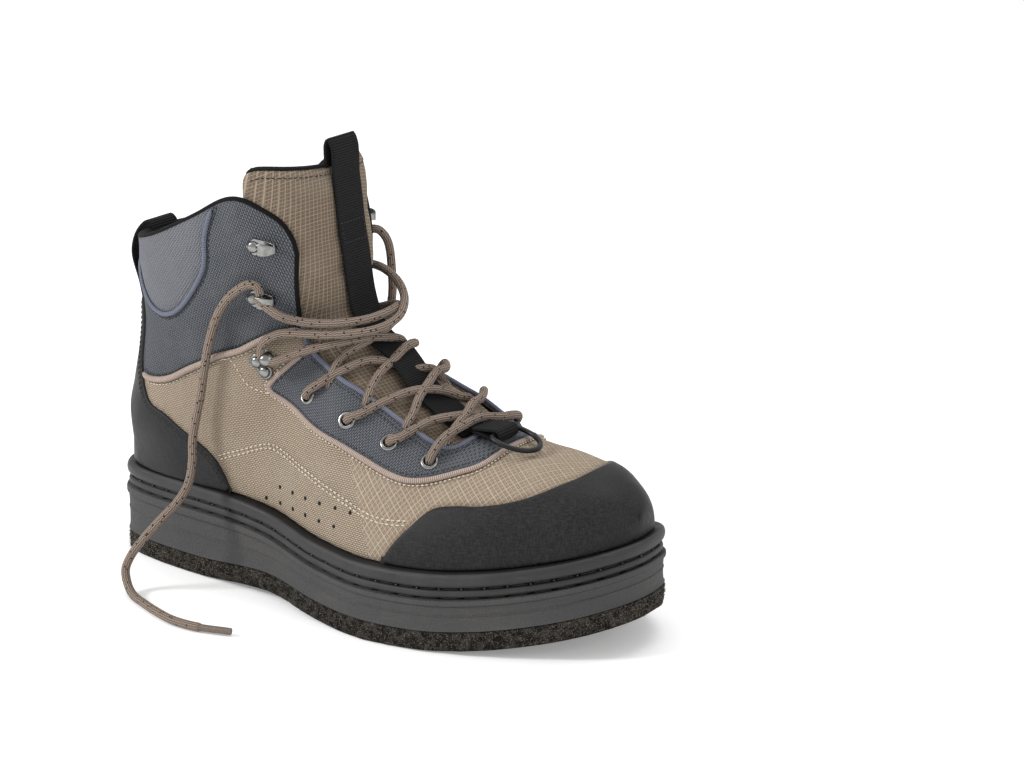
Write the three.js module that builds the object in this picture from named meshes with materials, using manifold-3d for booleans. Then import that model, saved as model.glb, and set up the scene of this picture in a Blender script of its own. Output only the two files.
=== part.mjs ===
// Felt-soled wading boot for the right foot, in millimetres, +Z up and the toe along +X.
// The boot is laid out from the heel's back at x = 0 with the lateral side along -Y,
// and one group moves it so that the middle of the sole is at the origin.
import * as THREE from 'three';
import { mergeVertices } from 'three/addons/utils/BufferGeometryUtils.js';
import Module from 'manifold-3d';

const wasm = await Module();
wasm.setup();

// Driving sizes of the last and sole
const soleLength = 318;
const ballWidth = 124;
const heelWidth = 79.5;
const instepHeight = 121.5;
const collarHeight = 208;
const collarWidth = 91;
const ankleWidth = 73;
const heelStack = 35.3;
const forefootStack = 26.5;
const feltThickness = 10;
const randHeight = 13;
const toeSpring = 18.7;
const archRise = 3.4;
const weltLedge = 6.5;
const weltShelf = 3;
const insoleThickness = 8;

// Driving sizes of the upper and what is sewn to it
const upperWall = 2.4;
const overlayThickness = 1.3;
const pipingHeight = 2.4;
const pipingWidth = 3.2;
const tonguePadding = 9;
const tongueMargin = 5;
const tongueTop = 216;
const tongueWidth = 70;
const webbingThickness = 1.5;
const webbingWidth = 22;
const pullLoopTop = 235;
const heelLoopWidth = 20;
const heelLoopBulge = 7;

// Driving sizes of the hardware and lace
const laceDiameter = 4.5;
const eyeletBore = 5.2;
const eyeletFlange = 9.2;
const hookLength = 17;
const hookWidth = 9;
const hookPlate = 1;
const rivetDiameter = 6;
const ringThickness = 3;
const ringWidth = 27;
const ringDepth = 21;
const tabTail = 13;

// Clearances
const fit = 0.3;
const easyFit = 0.45;
const laceGap = 0.4;
const facetSag = 1.5;

// Tables, their lengths as shares of the named sizes. The outline's rows run from heel to toe.
const outlineRows = [
  { share: 0, across: heelWidth, lateral: 0, medial: 0 },
  { share: 0.03, across: heelWidth, lateral: 0.293, medial: 0.265 },
  { share: 0.1, across: heelWidth, lateral: 0.4, medial: 0.415 },
  { share: 0.22, across: heelWidth, lateral: 0.478, medial: 0.5 },
  { share: 0.36, across: ballWidth, lateral: 0.358, medial: 0.285 },
  { share: 0.5, across: ballWidth, lateral: 0.477, medial: 0.341 },
  { share: 0.62, across: ballWidth, lateral: 0.534, medial: 0.464 },
  { share: 0.7, across: ballWidth, lateral: 0.516, medial: 0.483 },
  { share: 0.78, across: ballWidth, lateral: 0.461, medial: 0.469 },
  { share: 0.86, across: ballWidth, lateral: 0.377, medial: 0.42 },
  { share: 0.93, across: ballWidth, lateral: 0.278, medial: 0.346 },
  { share: 0.98, across: ballWidth, lateral: 0.15, medial: 0.211 },
  { share: 1, across: ballWidth, lateral: 0, medial: 0 },
];
// Cross sections of the foot: ridge as a share of the instep height, lean of the ridge to the
// medial side as a share of the ball width, and how square the section is.
const footRows = [
  { share: 0, ridge: 0.52, lean: 0, square: 2.4 },
  { share: 0.18, ridge: 0.6, lean: 0, square: 2.4 },
  { share: 0.32, ridge: 0.78, lean: 0.02, square: 2.4 },
  { share: 0.42, ridge: 1.02, lean: 0.03, square: 2.2 },
  { share: 0.47, ridge: 1.11, lean: 0.07, square: 2.1 },
  { share: 0.538, ridge: 1.02, lean: 0.1, square: 2.1 },
  { share: 0.575, ridge: 0.945, lean: 0.11, square: 2.1 },
  { share: 0.613, ridge: 0.888, lean: 0.11, square: 2.1 },
  { share: 0.66, ridge: 0.812, lean: 0.095, square: 2.1 },
  { share: 0.708, ridge: 0.757, lean: 0.07, square: 2.2 },
  { share: 0.755, ridge: 0.737, lean: 0.05, square: 2.4 },
  { share: 0.805, ridge: 0.726, lean: 0.04, square: 2.6 },
  { share: 0.85, ridge: 0.712, lean: 0.03, square: 2.6 },
  { share: 0.896, ridge: 0.694, lean: 0.02, square: 2.6 },
  { share: 0.937, ridge: 0.65, lean: 0, square: 2.5 },
  { share: 0.968, ridge: 0.595, lean: 0, square: 2.4 },
  { share: 0.99, ridge: 0.54, lean: 0, square: 2.2 },
  { share: 1, ridge: 0.52, lean: 0, square: 2.2 },
];
// Level sections of the shaft: height as a share of the collar height, back and front as
// shares of the sole's length, half its width as a share of the named width.
const shaftRows = [
  { share: 0.2, back: 0.038, front: 0.371, across: ankleWidth, half: 0.41, square: 2.3 },
  { share: 0.3, back: 0.016, front: 0.403, across: ankleWidth, half: 0.48, square: 2.3 },
  { share: 0.37, back: 0.0126, front: 0.421, across: ankleWidth, half: 0.5, square: 2.3 },
  { share: 0.45, back: 0.0236, front: 0.44, across: ankleWidth, half: 0.5, square: 2.3 },
  { share: 0.53, back: 0.0346, front: 0.456, across: ankleWidth, half: 0.5, square: 2.3 },
  { share: 0.62, back: 0.044, front: 0.4654, across: ankleWidth, half: 0.514, square: 2.3 },
  { share: 0.7, back: 0.0472, front: 0.467, across: collarWidth, half: 0.44, square: 2.35 },
  { share: 0.82, back: 0.0487, front: 0.459, across: collarWidth, half: 0.473, square: 2.45 },
  { share: 0.92, back: 0.0472, front: 0.448, across: collarWidth, half: 0.489, square: 2.5 },
  { share: 1, back: 0.044, front: 0.442, across: collarWidth, half: 0.5, square: 2.5 },
  { share: 1.15, back: 0.038, front: 0.428, across: collarWidth, half: 0.505, square: 2.5 },
];
// Side views. Along is a share of the sole's length, up a share of the height that it names.
const collarLine = [
  { along: -0.06, of: collarHeight, up: 0.84 },
  { along: 0.05, of: collarHeight, up: 0.845 },
  { along: 0.135, of: collarHeight, up: 0.88 },
  { along: 0.232, of: collarHeight, up: 0.937 },
  { along: 0.3, of: collarHeight, up: 0.992 },
  { along: 0.33, of: collarHeight, up: 0.995 },
  { along: 0.365, of: collarHeight, up: 0.972 },
  { along: 0.39, of: collarHeight, up: 0.945 },
  { along: 0.406, of: collarHeight, up: 0.905 },
];
const throatLine = [
  { along: 0.413, of: collarHeight, up: 0.85 },
  { along: 0.412, of: collarHeight, up: 0.75 },
  { along: 0.4215, of: instepHeight, up: 1.07 },
  { along: 0.4625, of: instepHeight, up: 0.992 },
  { along: 0.522, of: instepHeight, up: 0.925 },
  { along: 0.582, of: instepHeight, up: 0.84 },
  { along: 0.635, of: instepHeight, up: 0.775 },
  { along: 0.667, of: instepHeight, up: 0.742 },
  { along: 0.681, of: instepHeight, up: 0.742 },
  { along: 0.692, of: instepHeight, up: 0.765 },
];
const eyestayLine = [
  { along: 0.406, of: instepHeight, up: 1.044 },
  { along: 0.362, of: instepHeight, up: 0.933 },
  { along: 0.351, of: instepHeight, up: 0.893 },
  { along: 0.358, of: instepHeight, up: 0.868 },
  { along: 0.445, of: instepHeight, up: 0.78 },
  { along: 0.519, of: instepHeight, up: 0.73 },
  { along: 0.594, of: instepHeight, up: 0.666 },
  { along: 0.635, of: instepHeight, up: 0.64 },
  { along: 0.664, of: instepHeight, up: 0.642 },
  { along: 0.704, of: instepHeight, up: 0.67 },
  { along: 0.745, of: instepHeight, up: 0.72 },
  { along: 0.752, of: instepHeight, up: 0.9 },
];
const toeCapLine = [
  { along: 0.61, of: instepHeight, up: 0.25 },
  { along: 0.63, of: instepHeight, up: 0.33 },
  { along: 0.645, of: instepHeight, up: 0.4 },
  { along: 0.672, of: instepHeight, up: 0.49 },
  { along: 0.698, of: instepHeight, up: 0.555 },
  { along: 0.735, of: instepHeight, up: 0.577 },
  { along: 0.77, of: instepHeight, up: 0.585 },
  { along: 0.824, of: instepHeight, up: 0.617 },
  { along: 0.868, of: instepHeight, up: 0.667 },
  { along: 0.896, of: instepHeight, up: 0.71 },
  { along: 0.905, of: instepHeight, up: 0.85 },
];
const counterLine = [
  { along: -0.06, of: collarHeight, up: 0.66 },
  { along: 0.068, of: collarHeight, up: 0.66 },
  { along: 0.072, of: collarHeight, up: 0.5 },
  { along: 0.1, of: collarHeight, up: 0.42 },
  { along: 0.142, of: collarHeight, up: 0.4 },
  { along: 0.176, of: collarHeight, up: 0.375 },
  { along: 0.226, of: collarHeight, up: 0.337 },
  { along: 0.255, of: collarHeight, up: 0.3 },
  { along: 0.277, of: collarHeight, up: 0.245 },
  { along: 0.295, of: collarHeight, up: 0.15 },
];
const anklePipingLine = [
  { along: 0.092, of: collarHeight, up: 0.476 },
  { along: 0.123, of: collarHeight, up: 0.481 },
  { along: 0.154, of: collarHeight, up: 0.495 },
  { along: 0.201, of: collarHeight, up: 0.534 },
  { along: 0.233, of: collarHeight, up: 0.558 },
  { along: 0.261, of: collarHeight, up: 0.582 },
  { along: 0.305, of: collarHeight, up: 0.606 },
  { along: 0.318, of: collarHeight, up: 0.618 },
];
const eyeletRows = [
  { along: 0.43, of: instepHeight, up: 0.88 },
  { along: 0.5157, of: instepHeight, up: 0.823 },
  { along: 0.5912, of: instepHeight, up: 0.757 },
  { along: 0.6604, of: instepHeight, up: 0.7 },
];
const hookRows = [
  { along: 0.3616, of: collarHeight, up: 0.88 },
  { along: 0.3553, of: collarHeight, up: 0.75 },
];
const lockingHookAt = { along: 0.35, of: collarHeight, up: 0.586 };

// Places that follow from the sizes
const weltInset = weltLedge + upperWall + weltShelf;
const endRound = 44;
const bottomDepth = 10;
const spreadRadius = 45;
const blendRadius = 14;
const shaftMiddle = 1.5;
const stationCount = 24;

// A monotone cubic through a table's column
function tableCurve(keys, values) {
  const last = keys.length - 1;
  const steps = keys.slice(1).map((key, i) => key - keys[i]);
  const slopes = steps.map((step, i) => (values[i + 1] - values[i]) / step);
  const tangents = keys.map((_, i) => {
    if (i === 0) return slopes[0];
    if (i === last) return slopes[last - 1];
    if (slopes[i - 1] * slopes[i] <= 0) return 0;
    const a = 2 * steps[i] + steps[i - 1];
    const b = steps[i] + 2 * steps[i - 1];
    return (a + b) / (a / slopes[i - 1] + b / slopes[i]);
  });
  return (key) => {
    const at = THREE.MathUtils.clamp(key, keys[0], keys[last]);
    let i = 0;
    while (i < last - 1 && at > keys[i + 1]) i += 1;
    const t = (at - keys[i]) / steps[i];
    return values[i] * (1 + 2 * t) * (1 - t) ** 2 + steps[i] * tangents[i] * t * (1 - t) ** 2
      + values[i + 1] * t * t * (3 - 2 * t) + steps[i] * tangents[i + 1] * t * t * (t - 1);
  };
}

const columnCurve = (rows, value) => tableCurve(rows.map((row) => row.share), rows.map(value));
const turnOf = (share) => Math.acos(THREE.MathUtils.clamp(1 - 2 * share, -1, 1));
const outlineTurns = outlineRows.map((row) => turnOf(row.share));
const lateralHalf = tableCurve(outlineTurns, outlineRows.map((row) => row.across * row.lateral));
const medialHalf = tableCurve(outlineTurns, outlineRows.map((row) => row.across * row.medial));
const footRidge = columnCurve(footRows, (row) => row.ridge * instepHeight);
const footLean = columnCurve(footRows, (row) => row.lean * ballWidth);
const footSquare = columnCurve(footRows, (row) => row.square);
const shaftBack = columnCurve(shaftRows, (row) => row.back * soleLength);
const shaftFront = columnCurve(shaftRows, (row) => row.front * soleLength);
const shaftHalf = columnCurve(shaftRows, (row) => row.across * row.half);
const shaftSquare = columnCurve(shaftRows, (row) => row.square);

// Half the outline's width on one side, drawn in by an inset
function halfWidth(side, share, inset = 0) {
  const half = side < 0 ? lateralHalf(turnOf(share)) : medialHalf(turnOf(share));
  return half * (1 - inset / Math.max(half, endRound));
}

// Heights of the sole's faces at a share of its length
const springAt = (share) => toeSpring * (Math.max(share - 0.66, 0) / 0.34) ** 2;
const archAt = (share) => (Math.abs(share - 0.38) < 0.19
  ? archRise * Math.cos(Math.PI / 2 * (share - 0.38) / 0.19) ** 2 : 0);
const groundAt = (share) => springAt(share) + archAt(share);
const feltTopAt = (share) => groundAt(share) + feltThickness;
const midsoleTopAt = (share) => heelStack + springAt(share)
  + (forefootStack - heelStack) * THREE.MathUtils.smoothstep(share, 0.25, 0.6);
const weltTopAt = (share) => midsoleTopAt(share) + fit + randHeight;
const featherAt = (share) => weltTopAt(share) + fit;

// The foot and the shaft as fields: below 0 inside, about the distance in millimetres near 0
function footField(x, y, z) {
  const share = THREE.MathUtils.clamp(x / soleLength, 0, 1);
  const insetShare = THREE.MathUtils.clamp((x - weltLedge) / (soleLength - 2 * weltLedge), 0, 1);
  const lateral = halfWidth(-1, insetShare, weltLedge);
  const medial = halfWidth(1, insetShare, weltLedge);
  const half = Math.max((lateral + medial) / 2, 0.8);
  const feather = featherAt(share);
  const up = Math.max(z - feather, 0) / (footRidge(share) - feather);
  const down = Math.max(feather - z, 0) / bottomDepth;
  const centre = (medial - lateral) / 2 + footLean(share) * Math.min(up, 1.2);
  const across = (Math.abs(y - centre) / half) ** footSquare(share);
  const past = Math.max(weltLedge - x, x - (soleLength - weltLedge), 0);
  return ((across + up ** 2.1 + down ** 6) ** (1 / 2.1) - 1 + past) * spreadRadius;
}

function shaftField(x, y, z) {
  const share = z / collarHeight;
  const back = shaftBack(share);
  const front = shaftFront(share);
  const power = shaftSquare(share);
  const feather = featherAt(THREE.MathUtils.clamp(x / soleLength, 0, 1));
  const along = Math.abs(x - (back + front) / 2) / ((front - back) / 2);
  const across = Math.abs(y - shaftMiddle) / shaftHalf(share);
  const down = Math.max(feather - z, 0) / bottomDepth;
  return ((along ** power + across ** power + down ** 6) ** (1 / power) - 1) * spreadRadius;
}

function bootField(x, y, z) {
  const foot = footField(x, y, z);
  const shaft = shaftField(x, y, z);
  const near = Math.max(blendRadius - Math.abs(foot - shaft), 0) / blendRadius;
  return Math.min(foot, shaft) - near * near * blendRadius / 4;
}

const fieldAt = (point) => bootField(point.x, point.y, point.z);

function outwardAt(point) {
  const step = 0.4;
  const slope = (x, y, z) => bootField(point.x + x, point.y + y, point.z + z)
    - bootField(point.x - x, point.y - y, point.z - z);
  return new THREE.Vector3(slope(step, 0, 0), slope(0, step, 0), slope(0, 0, step)).normalize();
}

// The first point of the surface along a ray from inside
function surfaceAlong(origin, direction) {
  let near = 0;
  const stride = 3;
  while (fieldAt(origin.clone().addScaledVector(direction, near + stride)) < 0) near += stride;
  let far = near + stride;
  for (let i = 0; i < 16; i += 1) {
    const middle = (near + far) / 2;
    if (fieldAt(origin.clone().addScaledVector(direction, middle)) < 0) near = middle;
    else far = middle;
  }
  return origin.clone().addScaledVector(direction, near);
}

// Rings of surface points from the toe, round the ankle's bend and up the shaft
const bendX = 0.5157 * soleLength;
const bendZ = 0.827 * collarHeight;
const bendRadius = 0.433 * collarHeight;
const formTop = 1.13 * collarHeight;
const footRings = 12;
const bendRings = 12;
const shaftRings = 4;
const ringPoints = 24;

function ringFrames() {
  const frames = [];
  const toe = soleLength - weltLedge;
  for (let i = 0; i < footRings; i += 1) {
    const t = (i + 0.35) / footRings;
    const x = THREE.MathUtils.lerp(toe, bendX, (t + 1 - Math.cos(Math.PI / 2 * t)) / 2);
    const share = x / soleLength;
    const middle = (featherAt(share) + footRidge(share)) / 2 - 2;
    frames.push({ origin: new THREE.Vector3(x, 0, middle), up: new THREE.Vector3(0, 0, 1) });
  }
  for (let i = 0; i < bendRings; i += 1) {
    const turn = Math.PI / 2 * i / (bendRings - 1);
    const up = new THREE.Vector3(Math.sin(turn), 0, Math.cos(turn));
    const origin = new THREE.Vector3(bendX, 0, bendZ).addScaledVector(up, -bendRadius);
    frames.push({ origin, up });
  }
  for (let i = 1; i <= shaftRings; i += 1) {
    const z = THREE.MathUtils.lerp(bendZ, formTop, i / shaftRings);
    const origin = new THREE.Vector3(bendX - bendRadius, 0, z);
    frames.push({ origin, up: new THREE.Vector3(1, 0, 0) });
  }
  return frames;
}

const formRings = ringFrames().map(({ origin, up }) => Array.from({ length: ringPoints }, (_, i) => {
  const turn = 2 * Math.PI * i / ringPoints;
  const ray = up.clone().multiplyScalar(Math.cos(turn));
  ray.y += Math.sin(turn);
  const point = surfaceAlong(origin, ray);
  return { point, outward: outwardAt(point) };
}));
const toePoint = surfaceAlong(ringFrames()[0].origin, new THREE.Vector3(1, 0, 0));

// Solids
function solidFromMesh(points, triangles) {
  let volume = 0;
  for (const [a, b, c] of triangles) {
    volume += points[a].dot(new THREE.Vector3().crossVectors(points[b], points[c]));
  }
  const order = volume > 0 ? triangles : triangles.map(([a, b, c]) => [a, c, b]);
  return new wasm.Manifold(new wasm.Mesh({
    numProp: 3,
    vertProperties: new Float32Array(points.flatMap((point) => point.toArray())),
    triVerts: new Uint32Array(order.flat()),
  }));
}

function solidFromGeometry(geometry) {
  const source = geometry.index ? geometry.toNonIndexed() : geometry.clone();
  source.deleteAttribute('normal');
  source.deleteAttribute('uv');
  const merged = mergeVertices(source, 1e-3);
  const position = merged.attributes.position;
  const points = Array.from({ length: position.count },
    (_, i) => new THREE.Vector3().fromBufferAttribute(position, i));
  const index = merged.index.array;
  const triangles = [];
  for (let i = 0; i < index.length; i += 3) {
    const triangle = [index[i], index[i + 1], index[i + 2]];
    if (new Set(triangle).size === 3) triangles.push(triangle);
  }
  return solidFromMesh(points, triangles);
}

function geometryFromSolid(solid) {
  const mesh = solid.getMesh();
  const geometry = new THREE.BufferGeometry();
  const count = mesh.vertProperties.length / mesh.numProp;
  const positions = new Float32Array(count * 3);
  for (let i = 0; i < count; i += 1) {
    for (let k = 0; k < 3; k += 1) positions[3 * i + k] = mesh.vertProperties[i * mesh.numProp + k];
  }
  geometry.setAttribute('position', new THREE.BufferAttribute(positions, 3));
  geometry.setIndex(new THREE.BufferAttribute(new Uint32Array(mesh.triVerts), 1));
  return geometry;
}

// The boot's closed form, grown by an offset
function form(offset) {
  const moved = ({ point, outward }) => point.clone().addScaledVector(outward, offset);
  const points = [toePoint.clone().addScaledVector(new THREE.Vector3(1, 0, 0), offset)];
  formRings.forEach((ring) => points.push(...ring.map(moved)));
  const top = new THREE.Vector3();
  formRings.at(-1).forEach((entry) => top.addScaledVector(moved(entry), 1 / ringPoints));
  points.push(top);
  const at = (ring, i) => 1 + ring * ringPoints + (i % ringPoints);
  const last = formRings.length - 1;
  const triangles = [];
  for (let i = 0; i < ringPoints; i += 1) {
    triangles.push([0, at(0, i), at(0, i + 1)]);
    for (let ring = 0; ring < last; ring += 1) {
      triangles.push([at(ring, i), at(ring + 1, i), at(ring + 1, i + 1)]);
      triangles.push([at(ring, i), at(ring + 1, i + 1), at(ring, i + 1)]);
    }
    triangles.push([at(last, i), points.length - 1, at(last, i + 1)]);
  }
  return solidFromMesh(points, triangles);
}

const layer = (inside, outside) => form(outside).subtract(form(inside));

// Side view points in millimetres
const sideOf = (rows) => rows.map((row) => new THREE.Vector2(row.along * soleLength, row.up * row.of));

// A prism that runs across the boot from one y to another, from a side view outline
function sidePrism(outline, from = -ballWidth, to = ballWidth) {
  const shape = new THREE.Shape(outline);
  const geometry = new THREE.ExtrudeGeometry(shape, { depth: to - from, bevelEnabled: false });
  geometry.rotateX(Math.PI / 2).translate(0, to, 0);
  return solidFromGeometry(geometry);
}

// A strip of a given width along a side view line
function stripOutline(line, width) {
  const ahead = (i) => line[Math.min(i + 1, line.length - 1)].clone().sub(line[Math.max(i - 1, 0)]);
  const edge = (sign) => line.map((point, i) => {
    const along = ahead(i).normalize();
    return new THREE.Vector2(point.x - sign * along.y * width / 2, point.y + sign * along.x * width / 2);
  });
  return [...edge(1), ...edge(-1).reverse()];
}

// Everything above the feather edge and below the collar's line
function upperOutline() {
  const points = [];
  for (let i = 0; i <= 24; i += 1) {
    const share = THREE.MathUtils.lerp(-0.06, 1.04, i / 24);
    points.push(new THREE.Vector2(share * soleLength, featherAt(THREE.MathUtils.clamp(share, 0, 1))));
  }
  const collar = sideOf(collarLine).reverse();
  const farTop = new THREE.Vector2(1.04 * soleLength, collarHeight);
  return [...points, farTop, new THREE.Vector2(collar[0].x + ballWidth / 4, collarHeight), ...collar];
}

function throatOutline() {
  const line = sideOf(throatLine);
  const end = line.at(-1);
  return [...line, new THREE.Vector2(end.x, collarHeight), new THREE.Vector2(end.x, 1.2 * collarHeight),
    new THREE.Vector2(line[0].x, 1.2 * collarHeight)];
}

const upperPrism = sidePrism(upperOutline());
const throatPrism = sidePrism(throatOutline());
const behindHeel = -0.1 * soleLength;

function pointAt(row, side) {
  const origin = new THREE.Vector3(row.along * soleLength, shaftMiddle, row.up * row.of);
  const point = surfaceAlong(origin, new THREE.Vector3(0, side, 0));
  return { point, outward: outwardAt(point), side };
}

// Places a solid made around the origin: its Z along the outward normal, its X towards the toe
// and its Y upwards, mirrored from side to side
function seated(solid, place, lift) {
  const outward = place.outward.clone();
  const along = new THREE.Vector3(1, 0, 0).addScaledVector(outward, -outward.x).normalize();
  const across = new THREE.Vector3().crossVectors(outward, along).multiplyScalar(-place.side);
  const matrix = new THREE.Matrix4().makeBasis(along, across, outward);
  matrix.setPosition(place.point.clone().addScaledVector(outward, lift));
  return solid.transform(matrix.elements);
}

// The sole: stacks of outlines drawn in by an inset, each at its own height
const stations = Array.from({ length: stationCount + 1 },
  (_, i) => (1 - Math.cos(Math.PI * i / stationCount)) / 2);

function outlineLoop({ inset, height }) {
  const point = (share, side) => {
    const x = inset + share * (soleLength - 2 * inset);
    return new THREE.Vector3(x, side * halfWidth(side, share, inset), height(x / soleLength));
  };
  const lateral = stations.map((share) => point(share, -1));
  const medial = stations.slice(1, -1).reverse().map((share) => point(share, 1));
  return [...lateral, ...medial];
}

function stack(rows, isRing = false) {
  const loops = rows.map(outlineLoop);
  const size = 2 * stationCount;
  const at = (row, i) => (row % rows.length) * size + (i % size);
  const triangles = [];
  const bands = isRing ? rows.length : rows.length - 1;
  for (let row = 0; row < bands; row += 1) {
    for (let i = 0; i < size; i += 1) {
      triangles.push([at(row, i), at(row, i + 1), at(row + 1, i + 1)]);
      triangles.push([at(row, i), at(row + 1, i + 1), at(row + 1, i)]);
    }
  }
  if (!isRing) {
    for (const [row, isTop] of [[0, false], [rows.length - 1, true]]) {
      for (let i = 0; i < stationCount; i += 1) {
        const [a, b, c, d] = [at(row, i), at(row, i + 1), at(row, size - i - 1), at(row, size - i)];
        const faces = [[a, b, c], [a, c, d]].filter((face) => new Set(face).size === 3);
        triangles.push(...(isTop ? faces : faces.map((face) => [...face].reverse())));
      }
    }
  }
  return solidFromMesh(loops.flat(), triangles);
}

const feltSole = stack([
  { inset: 1.6, height: groundAt },
  { inset: 0.6, height: (share) => groundAt(share) + 1.5 },
  { inset: 0.6, height: feltTopAt },
]);

// The rubber's side: a drawn-in foot, a flared wall and a lip that stands out at the top
const midsoleSide = [
  { inset: 0.3, up: 0 },
  { inset: 1.1, up: 0.08 },
  { inset: 1.2, up: 0.55 },
  { inset: 0.7, up: 0.78 },
  { inset: 0, up: 0.86 },
  { inset: 0.2, up: 1 },
];
const midsole = stack(midsoleSide.map(({ inset, up }) => ({
  inset,
  height: (share) => THREE.MathUtils.lerp(feltTopAt(share) + fit, midsoleTopAt(share), up),
})));

// The rand: two round beads with a stitched groove between them and a shelf under the upper
const weltSection = [
  { inset: 1.8, up: 0 },
  { inset: 0.3, up: 0.16 },
  { inset: 0.3, up: 0.32 },
  { inset: 1.9, up: 0.46 },
  { inset: 3.4, up: 0.5 },
  { inset: 2, up: 0.55 },
  { inset: 0.9, up: 0.68 },
  { inset: 1.5, up: 0.9 },
  { inset: 3.6, up: 1 },
  { inset: weltInset, up: 1 },
  { inset: weltInset, up: 0 },
];
const welt = stack(weltSection.map(({ inset, up }) => ({
  inset,
  height: (share) => midsoleTopAt(share) + fit + up * randHeight,
})), true);

const insole = stack([0, insoleThickness].map((up) => ({
  inset: weltInset + easyFit,
  height: (share) => midsoleTopAt(share) + fit + up,
})));

// Webbing bent along a side view line
function ribbon(line, thickness, width, middle) {
  const smooth = new THREE.SplineCurve(line).getPoints(2 * line.length);
  return sidePrism(stripOutline(smooth, thickness), middle - width / 2, middle + width / 2);
}

// A round bar along a smooth line
function rod(points, diameter, steps, sides = 8, isClosed = false) {
  const circle = new THREE.Shape(Array.from({ length: sides }, (_, i) => {
    const turn = 2 * Math.PI * i / sides;
    return new THREE.Vector2(Math.cos(turn), Math.sin(turn)).multiplyScalar(diameter / 2);
  }));
  const path = new THREE.CatmullRomCurve3(points.map((point) => new THREE.Vector3(...point)), isClosed);
  return solidFromGeometry(new THREE.ExtrudeGeometry(circle,
    { steps, extrudePath: path, bevelEnabled: false }));
}

function cylinder(diameter, height, sides = 12) {
  const geometry = new THREE.CylinderGeometry(diameter / 2, diameter / 2, height, sides);
  return solidFromGeometry(geometry.rotateX(Math.PI / 2).translate(0, 0, height / 2));
}

// Eyelets: a flange on the eyestay and a barrel through both layers
const eyeletWall = 0.6;
const barrelDiameter = eyeletBore + 2 * eyeletWall;
const outerFace = overlayThickness + fit;
function eyelet() {
  const bore = eyeletBore / 2;
  const barrel = barrelDiameter / 2;
  const seat = outerFace + fit + facetSag / 2;
  const profile = [
    [bore, seat + 1], [bore, -upperWall], [barrel, -upperWall], [barrel, seat],
    [eyeletFlange / 2, seat], [eyeletFlange / 2 - 0.8, seat + 1],
  ];
  const points = [...profile, profile[0]].map(([x, y]) => new THREE.Vector2(x, y));
  return solidFromGeometry(new THREE.LatheGeometry(points, 8).rotateX(Math.PI / 2));
}

const sides = [{ name: 'lateral', sign: -1 }, { name: 'medial', sign: 1 }];
const eyeletPlaces = sides.flatMap(({ name, sign }) => eyeletRows.map((row, i) => (
  { name: `eyelet_${name}_${i + 1}`, ...pointAt(row, sign) })));
const eyeletHoles = eyeletPlaces.map((place) => seated(
  cylinder(barrelDiameter + 3 * fit, 4 * upperWall + 2 * outerFace, 8), place, -2 * upperWall));

const punched = (solid) => eyeletHoles.reduce((rest, hole) => rest.subtract(hole), solid);

const upper = punched(layer(-upperWall, 0).intersect(upperPrism).subtract(throatPrism));

const overlay = (outline, top = outerFace) => layer(fit, top)
  .intersect(upperPrism).intersect(sidePrism(outline));
const closedFront = (line) => [...line, new THREE.Vector2(1.1 * soleLength, line.at(-1).y),
  new THREE.Vector2(1.1 * soleLength, line[0].y)];
const toeCap = overlay(closedFront(sideOf(toeCapLine)));
const heelCounter = overlay([...sideOf(counterLine), new THREE.Vector2(behindHeel, 0),
  new THREE.Vector2(behindHeel, sideOf(counterLine)[0].y)]);
const throatBack = throatLine[0].along * soleLength;
const eyestayOutline = [...sideOf(eyestayLine), new THREE.Vector2(throatBack, collarHeight)];
const eyestay = punched(overlay(eyestayOutline).subtract(throatPrism));

// Raised piping beside the eyestay and between the ankle panel and the quarter
const pipingLayer = layer(fit, fit + pipingHeight).intersect(upperPrism);
function piping(line, sign) {
  const reach = sign * ballWidth;
  return pipingLayer.intersect(sidePrism(stripOutline(line, pipingWidth),
    Math.min(0, reach), Math.max(0, reach)));
}

// The tongue under the throat's edges, and the webbing down its middle
const tongueFace = -upperWall - fit;
function tongueOutline() {
  const line = sideOf(throatLine);
  const inner = line.map((point) => new THREE.Vector2(point.x - tongueMargin, point.y - tongueMargin));
  const end = line.at(-1).clone().add(new THREE.Vector2(tongueMargin, -tongueMargin));
  const back = inner[0].x - tongueWidth / 3;
  return [...inner.slice(1), end, new THREE.Vector2(end.x, tongueTop), new THREE.Vector2(back, tongueTop),
    new THREE.Vector2(back, inner[0].y)];
}
const tongue = layer(tongueFace - tonguePadding, tongueFace).intersect(sidePrism(tongueOutline()));

const webbingOutline = [
  { along: 0.3, of: tongueTop, up: 1 },
  { along: 0.3, of: instepHeight, up: 0.5 },
  { along: 0.675, of: instepHeight, up: 0.5 },
  { along: 0.675, of: tongueTop, up: 1 },
];
const webbingBand = sidePrism(sideOf(webbingOutline), shaftMiddle - webbingWidth / 2,
  shaftMiddle + webbingWidth / 2);
const webbing = layer(tongueFace + fit, tongueFace + fit + webbingThickness).intersect(webbingBand);
const loopRise = pullLoopTop - tongueTop;
const loopLap = 8;
const loopDepth = tonguePadding + 4.5;
const webbingFront = surfaceAlong(new THREE.Vector3(bendX - bendRadius, shaftMiddle, tongueTop - loopLap),
  new THREE.Vector3(1, 0, 0)).x + tongueFace + fit + webbingThickness / 2;
const pullLoopRows = [
  { back: 0, lift: -loopLap },
  { back: 0, lift: 0 },
  { back: 0.15 * loopDepth, lift: 0.63 * loopRise },
  { back: 0.6 * loopDepth, lift: 0.95 * loopRise },
  { back: 0.96 * loopDepth, lift: 0.74 * loopRise },
  { back: loopDepth, lift: 0.47 * loopRise },
  { back: 0.96 * loopDepth, lift: 0.08 * loopRise },
];
const pullLoopLine = pullLoopRows.map(({ back, lift }) => (
  new THREE.Vector2(webbingFront - back, tongueTop + lift)));
const pullLoop = ribbon(pullLoopLine, webbingThickness, webbingWidth - 1, shaftMiddle);
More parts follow.
